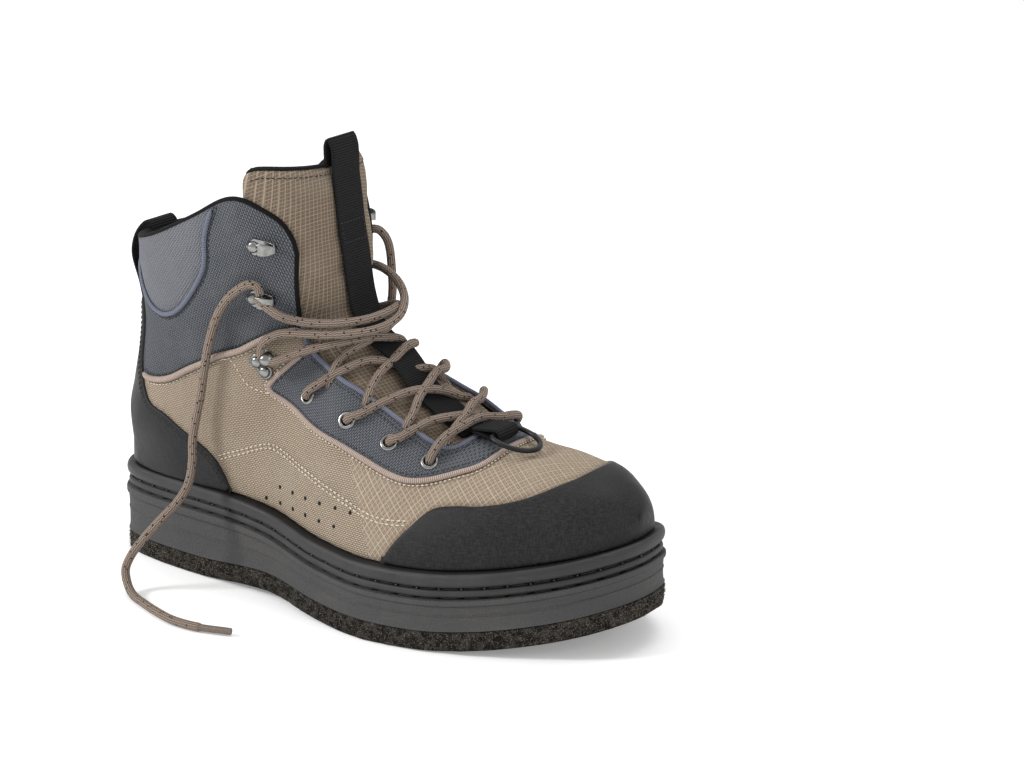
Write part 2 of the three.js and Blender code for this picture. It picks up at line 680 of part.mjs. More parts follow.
const tongueStrap = webbing.add(pullLoop);

// The heel loop stands out behind the collar
const collarBack = sideOf(collarLine)[1];
const backAt = (z) => surfaceAlong(new THREE.Vector3(collarBack.x + heelWidth / 2, shaftMiddle, z),
  new THREE.Vector3(-1, 0, 0)).x;
const loopSeat = outerFace + fit + webbingThickness / 2;
const heelLoopRows = [
  { up: 0.8, out: -upperWall - loopSeat },
  { up: 0.845, out: -upperWall - loopSeat },
  { up: 0.855, out: -upperWall / 2 },
  { up: 0.83, out: loopSeat + 0.5 * heelLoopBulge },
  { up: 0.765, out: loopSeat + heelLoopBulge },
  { up: 0.69, out: loopSeat + 0.3 * heelLoopBulge },
  { up: 0.65, out: loopSeat },
];
const heelLoopLine = heelLoopRows.map(({ up, out }) => (
  new THREE.Vector2(backAt(Math.min(up * collarHeight, collarBack.y)) - out, up * collarHeight)));
const heelLoop = ribbon(heelLoopLine, webbingThickness, heelLoopWidth, shaftMiddle);

// Lace hooks: a plate, a rivet's dome and a strip that curls back over the plate
function dome(diameter) {
  const geometry = new THREE.SphereGeometry(diameter / 2, 8, 4);
  return solidFromGeometry(geometry.rotateX(Math.PI / 2).scale(1, 1, 0.55));
}

function plate(points) {
  return solidFromGeometry(new THREE.ExtrudeGeometry(new THREE.Shape(
    points.map(([x, y]) => new THREE.Vector2(x, y))), { depth: hookPlate, bevelEnabled: false }));
}

const hookReach = laceDiameter + 2 * laceGap + hookPlate;
function curl(width, from) {
  const line = [
    [0, 0.5 * hookPlate], [0.3 * hookLength, 0.55 * hookPlate], [0.42 * hookLength, 0.3 * hookReach],
    [0.43 * hookLength, 0.7 * hookReach], [0.3 * hookLength, 1.02 * hookReach],
    [0.1 * hookLength, 1.06 * hookReach], [-0.04 * hookLength, 0.98 * hookReach],
  ].map(([x, z]) => new THREE.Vector2(from + x, z));
  return ribbon(line, hookPlate, width, 0);
}

function laceHook() {
  const [back, wide] = [hookLength / 2, hookWidth / 2];
  const base = plate([[-back, 0], [-0.62 * back, -wide], [0.3 * back, -0.8 * wide],
    [0.8 * back, -0.35 * wide], [0.8 * back, 0.35 * wide], [0.3 * back, 0.8 * wide], [-0.62 * back, wide]]);
  return base.add(dome(rivetDiameter).translate([-0.5 * back, 0, hookPlate]))
    .add(curl(0.62 * hookWidth, 0.05 * hookLength));
}

function lockingHook() {
  const reach = 0.62 * rivetDiameter;
  const base = [[0, reach], [0.3 * hookLength, -reach], [0, -2.4 * reach]].map(([x, y]) => (
    cylinder(1.5 * rivetDiameter, hookPlate, 10).translate([x - reach, y, 0])));
  const domes = [[-reach, reach], [-reach, -2.4 * reach]].map(([x, y]) => (
    dome(rivetDiameter).translate([x, y, hookPlate])));
  return [...base.slice(1), ...domes].reduce((whole, piece) => whole.add(piece), base[0])
    .add(curl(0.6 * hookWidth, -0.1 * hookLength).translate([0, reach - 1, 0]));
}

// The D-ring lies over the vamp and turns about its straight bar in a fold of webbing
const ringMiddle = 1;
const ringX = 0.731 * soleLength;
const tabWidth = ringWidth - 3 * ringThickness - 2 * easyFit;
const foldInner = ringThickness + 2 * easyFit;
const foldOuter = foldInner + 2 * webbingThickness;

// The highest point of the vamp across the tab's width
function vampTop(x) {
  const heights = [-0.5, 0, 0.5].map((share) => surfaceAlong(
    new THREE.Vector3(x, ringMiddle + share * tabWidth, heelStack + randHeight),
    new THREE.Vector3(0, 0, 1),
  ).z);
  return Math.max(...heights) + outerFace + fit;
}

const ringZ = vampTop(ringX - foldOuter / 2) + foldOuter / 2;
function crossBar(diameter, length, sides = 8) {
  return cylinder(diameter, length, sides).translate([0, 0, -length / 2]).rotate([90, 0, 0]);
}
const ringSlope = 0.27;
const ringBow = Array.from({ length: 9 }, (_, i) => {
  const turn = Math.PI * (i / 8 - 0.5);
  const ahead = 0.3 * ringDepth + Math.cos(turn) * (0.7 * ringDepth - ringThickness / 2);
  return [ringX + ahead, ringMiddle + Math.sin(turn) * (ringWidth - ringThickness) / 2,
    ringZ - ringSlope * ahead];
});
const ringEnds = [-1, 1].map((side) => [ringX, ringMiddle + side * (ringWidth / 2 - ringThickness), ringZ]);
const dRing = rod([ringEnds[0], ...ringBow, ringEnds[1]], ringThickness, 16)
  .add(crossBar(ringThickness, ringWidth - 1.6 * ringThickness).translate([ringX, ringMiddle, ringZ]));

function ringTab() {
  const tailX = ringX - tabTail;
  const tailZ = vampTop(tailX) + fit;
  const shape = new THREE.Shape();
  shape.absarc(ringX, ringZ, foldOuter / 2, -Math.PI / 2, Math.PI / 2, false);
  shape.lineTo(tailX, tailZ + 2 * webbingThickness);
  shape.lineTo(tailX, tailZ);
  const geometry = new THREE.ExtrudeGeometry(shape,
    { depth: tabWidth, bevelEnabled: false, curveSegments: 6 });
  geometry.rotateX(Math.PI / 2).translate(0, ringMiddle + tabWidth / 2, 0);
  return solidFromGeometry(geometry)
    .subtract(crossBar(foldInner, 2 * ringWidth, 10).translate([ringX, ringMiddle, ringZ]));
}

// The lace, its points chosen by hand: two strands to a crossing, the bar joined to the first
const laceRows = [
  { name: 'lace_cross_1', strands: [
    [[212.5, -23.5, 96.8], [214.7, -9.3, 99.7], [216.7, 4.3, 100.9], [217.3, 11.5, 101.1]],
    [[210.9, -16.5, 96.1], [211.4, -8.7, 99.3], [211, -0.7, 102.1], [208.1, 9.5, 104.8]],
    [[196.2, -20.5, 99.3], [201, -14.8, 101.5], [206.7, -7.4, 102.4], [210.3, 2.1, 101.1]],
  ] },
  { name: 'lace_cross_2', strands: [
    [[191.1, -18.5, 102.5], [190.1, -11, 110.5], [188.5, -0.3, 115.5], [187.1, 8.2, 117.9]],
    [[176.1, -24, 109.3], [179.2, -20.4, 111.3], [184.5, -12.1, 113.2], [190, -4.2, 113.5]],
  ] },
  { name: 'lace_cross_3', strands: [
    [[169.7, -20.7, 116.4], [170, -15.2, 121], [171.5, -5.1, 126.6], [171.7, 5.1, 130]],
    [[150.7, -25.6, 121.1], [155.6, -22.6, 124.4], [162.5, -15.4, 127], [171.5, -9.3, 124.7]],
  ] },
  { name: 'lace_cross_4', strands: [
    [[150.3, -20.5, 127.7], [155.3, -17, 132.2], [158.8, -9, 135.2], [160.3, 2, 138.2], [157.8, 14, 140.2],
      [150.3, 24, 139.7]],
    [[131.5, -34.5, 129.7], [142.3, -29.5, 133.7], [152.3, -22.3, 136.2], [159.8, -12, 137.2],
      [162.8, 0, 135.7]],
  ] },
  { name: 'lace_cross_5', strands: [
    [[125.8, -38.4, 140], [136, -34.2, 140], [147.9, -28.8, 140], [157.4, -23.4, 141],
      [165.5, -15.7, 142.5], [169.4, -6, 144.5], [169, 4, 147.5], [164, 14, 151.5], [155, 24, 154.5],
      [144, 33, 156]],
    [[126.5, -40.1, 149.3], [134, -34.5, 146.5], [143, -29, 145.5], [152.5, -23.5, 145.8],
      [161.5, -13.5, 147.2], [165.4, -1.7, 149], [162, 11, 148.5], [154.5, 23, 145], [143, 33.5, 141.5]],
  ] },
];

function laceCrossing({ strands }) {
  return strands.map((points) => rod(points, laceDiameter, 6, 6))
    .reduce((whole, strand) => whole.add(strand));
}

// The free lateral end hangs from its upper hook to the floor, and the medial end stops short
const lateralEnd = [
  [115.9, -42.4, 159.4], [115.2, -43.1, 163], [112.8, -44, 164.5], [109, -44.7, 163.7], [101, -45, 158.3],
  [95.8, -44.4, 153.4], [90.5, -43.4, 146.7], [85.6, -42.6, 137.5], [81.6, -42, 126.5], [78.4, -41.8, 113.1],
  [76, -42, 100.5], [73.4, -42.8, 88.5], [72.4, -45, 76.8], [75.1, -49, 67.1], [76.6, -54.5, 57],
  [74.5, -61, 48.5], [68.5, -68, 39.5], [61, -72.5, 29.5], [54.5, -75, 20], [51.5, -76.5, 12],
  [54, -78.5, 6.2], [62, -84, 3], [75, -90.5, 2.6], [90, -97, 2.6], [103, -101, 2.6], [118, -101.5, 2.6],
  [136, -97.5, 2.6],
];
const medialEnd = [
  [115.9, 44.6, 159.4], [115.5, 44.7, 165], [115.6, 44.6, 169.5], [117.6, 44.8, 173.8], [121, 45, 175.7],
  [124.8, 46.3, 175.8], [127.5, 47.5, 173.4], [129.4, 48.5, 169.6], [130.4, 49, 164.7], [130.8, 49.5, 157.9],
  [131.2, 49.5, 151.4], [131.4, 49.5, 145.2], [130.6, 49.5, 138.1], [128, 49.6, 130], [124.5, 49.8, 121.5],
];

// Colours, roughness and metalness
const finish = (color, roughness, metalness = 0) => new THREE.MeshStandardMaterial(
  { color, roughness, metalness });
const materials = {
  felt: finish(0x45433f, 1),
  rubber: finish(0x3b3b3c, 0.75),
  smooth: finish(0x303134, 0.6),
  canvas: finish(0x9a8a73, 0.9),
  grey: finish(0x6a6f78, 0.9),
  edging: finish(0xb5a091, 0.85),
  webbing: finish(0x26272a, 0.9),
  footbed: finish(0x2b2b2d, 0.95),
  metal: finish(0xb9babb, 0.35, 1),
  plastic: finish(0x2c2e31, 0.4),
  lace: finish(0x7d7065, 0.9),
};

const boot = new THREE.Group();
function piece(name, solid, material) {
  const mesh = new THREE.Mesh(geometryFromSolid(solid), material);
  mesh.name = name;
  boot.add(mesh);
}

piece('outsole_felt', feltSole, materials.felt);
piece('midsole', midsole, materials.rubber);
piece('welt', welt, materials.rubber);
piece('insole', insole, materials.footbed);
piece('upper', upper, materials.canvas);
piece('toe_cap', toeCap, materials.smooth);
piece('heel_counter', heelCounter, materials.smooth);
piece('eyestay', eyestay, materials.grey);
piece('tongue', tongue, materials.canvas);
piece('tongue_strap', tongueStrap, materials.webbing);
piece('heel_loop', heelLoop, materials.webbing);
for (const { name, sign } of sides) {
  piece(`ankle_piping_${name}`, piping(sideOf(anklePipingLine), sign), materials.edging);
  hookRows.forEach((row, i) => {
    const place = pointAt(row, sign);
    piece(`hook_${name}_${i + 1}`, seated(laceHook(), place, fit + facetSag / 2), materials.metal);
  });
  piece(`locking_hook_${name}`, seated(lockingHook(), pointAt(lockingHookAt, sign), fit + facetSag),
    materials.metal);
}
eyeletPlaces.forEach((place) => piece(place.name, seated(eyelet(), place, 0), materials.metal));
piece('d_ring_tab', ringTab(), materials.webbing);
piece('d_ring', dRing, materials.plastic);
laceRows.forEach((row) => piece(row.name, laceCrossing(row), materials.lace));
piece('lace_end_lateral', rod(lateralEnd, laceDiameter, 42), materials.lace);
piece('lace_end_medial', rod(medialEnd, laceDiameter, 18), materials.lace);

const widest = (side) => Math.max(...stations.map((share) => halfWidth(side, share)));
boot.position.set(-soleLength / 2, (widest(-1) - widest(1)) / 2, 0);
const part = new THREE.Group();
part.add(boot);

export default part;
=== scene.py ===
"""Looks of a felt-soled wading boot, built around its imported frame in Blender.

Lengths inside the boot's own classes are millimetres in the boot's layout: x from the back of the
heel towards the toe, y towards the medial side and z up from the floor. Every mesh is moved into the
frame, in metres, when it is made.
"""

import logging
import math
from dataclasses import dataclass
from enum import Enum
from typing import Callable, Iterable, NamedTuple, Sequence

import bpy
import numpy as np
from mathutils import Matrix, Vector


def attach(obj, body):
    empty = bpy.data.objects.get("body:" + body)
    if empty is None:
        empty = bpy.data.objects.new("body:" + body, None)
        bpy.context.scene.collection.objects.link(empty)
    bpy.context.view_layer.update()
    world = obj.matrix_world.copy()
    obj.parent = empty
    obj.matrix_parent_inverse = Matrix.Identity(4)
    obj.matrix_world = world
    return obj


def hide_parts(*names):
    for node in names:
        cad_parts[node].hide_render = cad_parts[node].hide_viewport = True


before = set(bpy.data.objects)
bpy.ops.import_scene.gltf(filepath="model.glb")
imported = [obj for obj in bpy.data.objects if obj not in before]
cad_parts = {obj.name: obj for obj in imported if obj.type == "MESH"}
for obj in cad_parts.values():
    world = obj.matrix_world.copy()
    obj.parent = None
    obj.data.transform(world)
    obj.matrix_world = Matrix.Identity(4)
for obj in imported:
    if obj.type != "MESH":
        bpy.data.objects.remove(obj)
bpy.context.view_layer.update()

log = logging.getLogger("wading_boot")

MM = 0.001
BOOT = "boot"
RING = "d_ring"
Array = np.ndarray
Point = tuple[float, float, float]
Measure = Callable[[np.ndarray], np.ndarray]
UP, AHEAD, BACK = (0, 0, 1.0), (1.0, 0, 0), (-1.0, 0, 0)
# A seam value far from every seam, so that no painted seam shade falls.
SEAMLESS = 4.0


class Side(Enum):
    """The two sides of a right boot, as the sign of y."""

    LATERAL = -1
    MEDIAL = 1


class OutlineRow(NamedTuple):
    """Half widths of the sole at a share of its length, as shares of a named width."""

    share: float
    across: float
    lateral: float
    medial: float


class FootRow(NamedTuple):
    """A cross section of the foot: ridge height, lean of the ridge and squareness."""

    share: float
    ridge: float
    lean: float
    square: float


class ShaftRow(NamedTuple):
    """A level section of the shaft."""

    share: float
    back: float
    front: float
    across: float
    half: float
    square: float


class SideRow(NamedTuple):
    """A point of a side view: along as a share of the sole's length, up as a share of a height."""

    along: float
    of: float
    up: float


def side_rows(height: float, *places: tuple[float, float]) -> tuple[SideRow, ...]:
    """Points of a side view whose heights are shares of one height."""
    return tuple(SideRow(along, height, up) for along, up in places)


SOLE_LENGTH = 318.0
BALL_WIDTH = 124.0
HEEL_WIDTH = 79.5
INSTEP_HEIGHT = 121.5
COLLAR_HEIGHT = 208.0
COLLAR_WIDTH = 91.0
ANKLE_WIDTH = 73.0

OUTLINE_ROWS = tuple(OutlineRow(*row) for row in (
    (0, HEEL_WIDTH, 0, 0), (0.03, HEEL_WIDTH, 0.293, 0.265), (0.1, HEEL_WIDTH, 0.4, 0.415),
    (0.22, HEEL_WIDTH, 0.478, 0.5), (0.36, BALL_WIDTH, 0.358, 0.285), (0.5, BALL_WIDTH, 0.477, 0.341),
    (0.62, BALL_WIDTH, 0.534, 0.464), (0.7, BALL_WIDTH, 0.516, 0.483), (0.78, BALL_WIDTH, 0.461, 0.469),
    (0.86, BALL_WIDTH, 0.377, 0.42), (0.93, BALL_WIDTH, 0.278, 0.346), (0.98, BALL_WIDTH, 0.15, 0.211),
    (1, BALL_WIDTH, 0, 0)))
FOOT_ROWS = tuple(FootRow(*row) for row in (
    (0, 0.52, 0, 2.4), (0.18, 0.6, 0, 2.4), (0.32, 0.78, 0.02, 2.4), (0.42, 1.02, 0.03, 2.2),
    (0.47, 1.11, 0.07, 2.1), (0.538, 1.02, 0.1, 2.1), (0.575, 0.945, 0.11, 2.1), (0.613, 0.888, 0.11, 2.1),
    (0.66, 0.812, 0.095, 2.1), (0.708, 0.757, 0.07, 2.2), (0.755, 0.737, 0.05, 2.4), (0.805, 0.726, 0.04, 2.6),
    (0.85, 0.712, 0.03, 2.6), (0.896, 0.694, 0.02, 2.6), (0.937, 0.65, 0, 2.5), (0.968, 0.595, 0, 2.4),
    (0.99, 0.54, 0, 2.2), (1, 0.52, 0, 2.2)))
SHAFT_ROWS = tuple(ShaftRow(*row) for row in (
    (0.2, 0.038, 0.371, ANKLE_WIDTH, 0.41, 2.3), (0.3, 0.016, 0.403, ANKLE_WIDTH, 0.48, 2.3),
    (0.37, 0.0126, 0.421, ANKLE_WIDTH, 0.5, 2.3), (0.45, 0.0236, 0.44, ANKLE_WIDTH, 0.5, 2.3),
    (0.53, 0.0346, 0.456, ANKLE_WIDTH, 0.5, 2.3), (0.62, 0.044, 0.4654, ANKLE_WIDTH, 0.514, 2.3),
    (0.7, 0.0472, 0.467, COLLAR_WIDTH, 0.44, 2.35), (0.82, 0.0487, 0.459, COLLAR_WIDTH, 0.473, 2.45),
    (0.92, 0.0472, 0.448, COLLAR_WIDTH, 0.489, 2.5), (1, 0.044, 0.442, COLLAR_WIDTH, 0.5, 2.5),
    (1.15, 0.038, 0.428, COLLAR_WIDTH, 0.505, 2.5)))
COLLAR_LINE = side_rows(
    COLLAR_HEIGHT, (-0.06, 0.828), (0.05, 0.833), (0.135, 0.868), (0.232, 0.937), (0.3, 0.992), (0.33, 0.995),
    (0.365, 0.972), (0.39, 0.945), (0.406, 0.905), (0.4126, 0.868))
THROAT_LINE = side_rows(COLLAR_HEIGHT, (0.413, 0.85), (0.412, 0.75)) + side_rows(
    INSTEP_HEIGHT, (0.4215, 1.07), (0.4625, 0.992), (0.522, 0.925), (0.582, 0.84), (0.635, 0.775),
    (0.667, 0.742), (0.681, 0.742), (0.692, 0.765))
EYESTAY_LINE = side_rows(
    INSTEP_HEIGHT, (0.406, 1.044), (0.362, 0.933), (0.351, 0.893), (0.358, 0.868), (0.445, 0.78), (0.519, 0.73),
    (0.594, 0.666), (0.635, 0.64), (0.664, 0.642), (0.704, 0.67), (0.745, 0.72), (0.752, 0.9))
TOE_CAP_LINE = side_rows(
    INSTEP_HEIGHT, (0.61, 0.25), (0.63, 0.33), (0.645, 0.4), (0.672, 0.49), (0.698, 0.555), (0.735, 0.577),
    (0.77, 0.585), (0.824, 0.617), (0.868, 0.667), (0.896, 0.71), (0.905, 0.85))
COUNTER_LINE = side_rows(
    COLLAR_HEIGHT, (-0.06, 0.66), (0.068, 0.66), (0.072, 0.5), (0.1, 0.42), (0.142, 0.4), (0.176, 0.375),
    (0.226, 0.337), (0.255, 0.3), (0.277, 0.245), (0.295, 0.15))
ANKLE_LINE = side_rows(
    COLLAR_HEIGHT, (-0.06, 0.49), (0.07, 0.486), (0.092, 0.476), (0.123, 0.481), (0.154, 0.495), (0.201, 0.534),
    (0.233, 0.558), (0.261, 0.582), (0.305, 0.606), (0.33, 0.628), (0.37, 0.66), (0.44, 0.69))


class SmoothTable:
    """A monotone cubic through the column of a table."""

    def __init__(self, keys: Sequence[float], values: Sequence[float]) -> None:
        """Works out the tangents.

        Args:
            keys: Rising positions.
            values: The value at each position.
        """
        self.keys = np.asarray(keys, float)
        self.values = np.asarray(values, float)
        self.steps = np.diff(self.keys)
        slopes = np.diff(self.values) / self.steps
        before, after = slopes[:-1], slopes[1:]
        first = 2 * self.steps[1:] + self.steps[:-1]
        second = self.steps[1:] + 2 * self.steps[:-1]
        with np.errstate(divide="ignore", invalid="ignore"):
            middle = (first + second) / (first / before + second / after)
        inner = np.where(before * after > 0, middle, 0.0)
        self.tangents = np.concatenate([[slopes[0]], inner, [slopes[-1]]])

    def __call__(self, key: Array) -> Array:
        """The curve's value at each key, held level past the ends.

        Args:
            key: Where to read the curve.

        Returns:
            The curve's value at each key.
        """
        at = np.clip(key, self.keys[0], self.keys[-1])
        i = np.clip(np.searchsorted(self.keys, at, side="right") - 1, 0, len(self.steps) - 1)
        t = (at - self.keys[i]) / self.steps[i]
        return (
            self.values[i] * (1 + 2 * t) * (1 - t) ** 2
            + self.steps[i] * self.tangents[i] * t * (1 - t) ** 2
            + self.values[i + 1] * t * t * (3 - 2 * t)
            + self.steps[i] * self.tangents[i + 1] * t * t * (t - 1)
        )


def turn_of(share: Array) -> Array:
    """The turn from heel to toe at which a cosine reaches a share of the length."""
    return np.arccos(np.clip(1 - 2 * np.asarray(share, float), -1, 1))


def normalised(vectors: Array) -> Array:
    """Each vector at unit length."""
    return vectors / np.maximum(np.linalg.norm(vectors, axis=-1, keepdims=True), 1e-9)


@dataclass(frozen=True)
class BootForm:
    """The closed form of foot and shaft that every panel is offset from."""

    welt_ledge: float = 6.5
    heel_stack: float = 35.3
    forefoot_stack: float = 26.5
    felt_thickness: float = 10.0
    rand_height: float = 13.0
    toe_spring: float = 18.7
    arch_rise: float = 3.4
    fit: float = 0.3
    end_round: float = 44.0
    bottom_depth: float = 10.0
    spread_radius: float = 45.0
    blend_radius: float = 14.0
    shaft_middle: float = 1.5
    spring_from: float = 0.66
    spring_length: float = 0.34
    arch_middle: float = 0.38
    arch_half: float = 0.19
    drop_from: float = 0.25
    drop_length: float = 0.35
    normal_step: float = 0.4
    ray_stride: float = 3.0

    def __post_init__(self) -> None:
        """Makes the smooth tables once."""
        turns = [float(turn_of(row.share)) for row in OUTLINE_ROWS]
        shares = [row.share for row in FOOT_ROWS]
        levels = [row.share for row in SHAFT_ROWS]
        tables = {
            "lateral": SmoothTable(turns, [row.across * row.lateral for row in OUTLINE_ROWS]),
            "medial": SmoothTable(turns, [row.across * row.medial for row in OUTLINE_ROWS]),
            "ridge": SmoothTable(shares, [row.ridge * INSTEP_HEIGHT for row in FOOT_ROWS]),
            "lean": SmoothTable(shares, [row.lean * BALL_WIDTH for row in FOOT_ROWS]),
            "foot_square": SmoothTable(shares, [row.square for row in FOOT_ROWS]),
            "back": SmoothTable(levels, [row.back * SOLE_LENGTH for row in SHAFT_ROWS]),
            "front": SmoothTable(levels, [row.front * SOLE_LENGTH for row in SHAFT_ROWS]),
            "half": SmoothTable(levels, [row.across * row.half for row in SHAFT_ROWS]),
            "shaft_square": SmoothTable(levels, [row.square for row in SHAFT_ROWS]),
        }
        object.__setattr__(self, "tables", tables)

    def half_width(self, side: Side, share: Array, inset: float = 0.0) -> Array:
        """Half the outline's width on one side, drawn in by an inset.

        Args:
            side: Which side.
            share: The place along the sole, from 0 to 1.
            inset: How far the outline is drawn in.

        Returns:
            The half width at each place.
        """
        table = self.tables["lateral" if side is Side.LATERAL else "medial"]
        half = table(turn_of(share))
        return half * (1 - inset / np.maximum(half, self.end_round))

    def sideways(self) -> float:
        """How far the layout moves across so that the sole's middle is at y = 0."""
        shares = (1 - np.cos(np.pi * np.arange(25) / 24)) / 2
        lateral = self.half_width(Side.LATERAL, shares).max()
        return float(lateral - self.half_width(Side.MEDIAL, shares).max()) / 2

    def spring(self, share: Array) -> Array:
        """The toe spring's rise."""
        return self.toe_spring * (np.maximum(share - self.spring_from, 0) / self.spring_length) ** 2

    def ground(self, share: Array) -> Array:
        """The felt's lower face: toe spring and arch."""
        arch = np.cos(np.pi / 2 * np.clip((share - self.arch_middle) / self.arch_half, -1, 1)) ** 2
        return self.spring(share) + self.arch_rise * arch

    def felt_top(self, share: Array) -> Array:
        """The felt's upper face."""
        return self.ground(share) + self.felt_thickness

    def midsole_top(self, share: Array) -> Array:
        """The rubber's upper face."""
        t = np.clip((share - self.drop_from) / self.drop_length, 0, 1)
        drop = (self.forefoot_stack - self.heel_stack) * t * t * (3 - 2 * t)
        return self.heel_stack + self.spring(share) + drop

    def feather(self, share: Array) -> Array:
        """The upper's lower edge, just above the rand."""
        return self.midsole_top(share) + self.rand_height + 2 * self.fit

    def foot_field(self, x: Array, y: Array, z: Array) -> Array:
        """About the distance to the foot's surface, below 0 inside.

        Args:
            x: Places along the boot.
            y: Places across it.
            z: Heights.

        Returns:
            The field at each point.
        """
        ledge = self.welt_ledge
        share = np.clip(x / SOLE_LENGTH, 0, 1)
        inset_share = np.clip((x - ledge) / (SOLE_LENGTH - 2 * ledge), 0, 1)
        lateral = self.half_width(Side.LATERAL, inset_share, ledge)
        medial = self.half_width(Side.MEDIAL, inset_share, ledge)
        half = np.maximum((lateral + medial) / 2, 0.8)
        feather = self.feather(share)
        up = np.maximum(z - feather, 0) / (self.tables["ridge"](share) - feather)
        down = np.maximum(feather - z, 0) / self.bottom_depth
        centre = (medial - lateral) / 2 + self.tables["lean"](share) * np.minimum(up, 1.2)
        across = (np.abs(y - centre) / half) ** self.tables["foot_square"](share)
        past = np.maximum(np.maximum(ledge - x, x - (SOLE_LENGTH - ledge)), 0)
        return ((across + up**2.1 + down**6) ** (1 / 2.1) - 1 + past) * self.spread_radius

    def shaft_field(self, x: Array, y: Array, z: Array) -> Array:
        """About the distance to the shaft's surface, below 0 inside.

        Args:
            x: Places along the boot.
            y: Places across it.
            z: Heights.

        Returns:
            The field at each point.
        """
        level = z / COLLAR_HEIGHT
        back, front = self.tables["back"](level), self.tables["front"](level)
        power = self.tables["shaft_square"](level)
        feather = self.feather(np.clip(x / SOLE_LENGTH, 0, 1))
        along = np.abs(x - (back + front) / 2) / ((front - back) / 2)
        across = np.abs(y - self.shaft_middle) / self.tables["half"](level)
        down = np.maximum(feather - z, 0) / self.bottom_depth
        total = along**power + across**power + down**6
        return (total ** (1 / power) - 1) * self.spread_radius

    def distance(self, points: Array) -> Array:
        """The blended field of foot and shaft at each point."""
        x, y, z = points[..., 0], points[..., 1], points[..., 2]
        foot, shaft = self.foot_field(x, y, z), self.shaft_field(x, y, z)
        near = np.maximum(self.blend_radius - np.abs(foot - shaft), 0) / self.blend_radius
        return np.minimum(foot, shaft) - near * near * self.blend_radius / 4

    def outward(self, points: Array) -> Array:
        """The outward normal at each point."""
        steps = self.normal_step * np.eye(3)
        return normalised(np.stack([self.distance(points + s) - self.distance(points - s) for s in steps], -1))

    def reach(self, origins: Array, directions: Array) -> Array:
        """The first surface point along each ray from inside.

        Args:
            origins: Ray starts inside the form.
            directions: Unit directions.

        Returns:
            One point for each ray.
        """
        stride = self.ray_stride
        near = np.zeros(len(origins))
        active = np.arange(len(origins))
        for _ in range(110):
            ahead = origins[active] + directions[active] * (near[active] + stride)[:, None]
            inside = self.distance(ahead) < 0
            near[active[inside]] += stride
            active = active[inside]
            if len(active) == 0:
                break
        far = near + stride
        for _ in range(14):
            middle = (near + far) / 2
            inside = self.distance(origins + directions * middle[:, None]) < 0
            near = np.where(inside, middle, near)
            far = np.where(inside, far, middle)
        return origins + directions * near[:, None]

    def met(self, x: Array | float, y: Array | float, z: Array | float, axis: Sequence[float]) -> Array:
        """The surface points met from places inside, all along one direction."""
        origins = np.stack(np.broadcast_arrays(np.atleast_1d(x), y, z), -1).astype(float)
        return self.reach(origins, np.tile(axis, (len(origins), 1)))

    def on_side(self, side_view: Array, side: Side) -> Array:
        """The surface points behind side view points, on one side."""
        return self.met(side_view[:, 0], self.shaft_middle, side_view[:, 1], (0.0, side.value, 0.0))


FORM = BootForm()
MOVE = np.array([-SOLE_LENGTH / 2, FORM.sideways(), 0.0])


def to_frame(points: Array) -> Array:
    """Layout millimetres as frame metres."""
    return (np.asarray(points, float) + MOVE) * MM


def side_points(rows: Iterable[SideRow]) -> Array:
    """A side view line through rows, smoothed, as x and z in millimetres."""
    return spline([[row.along * SOLE_LENGTH, row.up * row.of] for row in rows], 8)


def spline(points: Array | Sequence[Sequence[float]], per_stretch: int) -> Array:
    """A centripetal spline through points.

    Args:
        points: The points, two or three numbers each.
        per_stretch: Samples to each stretch.

    Returns:
        The samples, ending on the last point.
    """
    points = np.asarray(points, float)
    ends = np.vstack([2 * points[0] - points[1], points, 2 * points[-1] - points[-2]])
    knots = np.concatenate([[0], np.cumsum(np.linalg.norm(np.diff(ends, axis=0), axis=1) ** 0.5)])
    out = []
    for i in range(1, len(ends) - 2):
        p0, p1, p2, p3 = ends[i - 1 : i + 3]
        t0, t1, t2, t3 = knots[i - 1 : i + 3]
        t = np.linspace(t1, t2, per_stretch, endpoint=False)[:, None]
        a1 = (t1 - t) / (t1 - t0) * p0 + (t - t0) / (t1 - t0) * p1
        a2 = (t2 - t) / (t2 - t1) * p1 + (t - t1) / (t2 - t1) * p2
        a3 = (t3 - t) / (t3 - t2) * p2 + (t - t2) / (t3 - t2) * p3
        b1 = (t2 - t) / (t2 - t0) * a1 + (t - t0) / (t2 - t0) * a2
        b2 = (t3 - t) / (t3 - t1) * a2 + (t - t1) / (t3 - t1) * a3
        out.append((t2 - t) / (t2 - t1) * b1 + (t - t1) / (t2 - t1) * b2)
    return np.vstack([*out, points[-1:]])


def resampled(points: Array, spacing: float) -> Array:
    """A line's points at an even spacing, its ends kept.

    Args:
        points: The line's points.
        spacing: The wanted spacing.

    Returns:
        The evenly spaced points.
    """
    lengths = np.concatenate([[0], np.cumsum(np.linalg.norm(np.diff(points, axis=0), axis=1))])
    count = max(int(round(lengths[-1] / spacing)), 2)
    at = np.linspace(0, lengths[-1], count + 1)
    return np.stack([np.interp(at, lengths, points[:, k]) for k in range(points.shape[1])], -1)


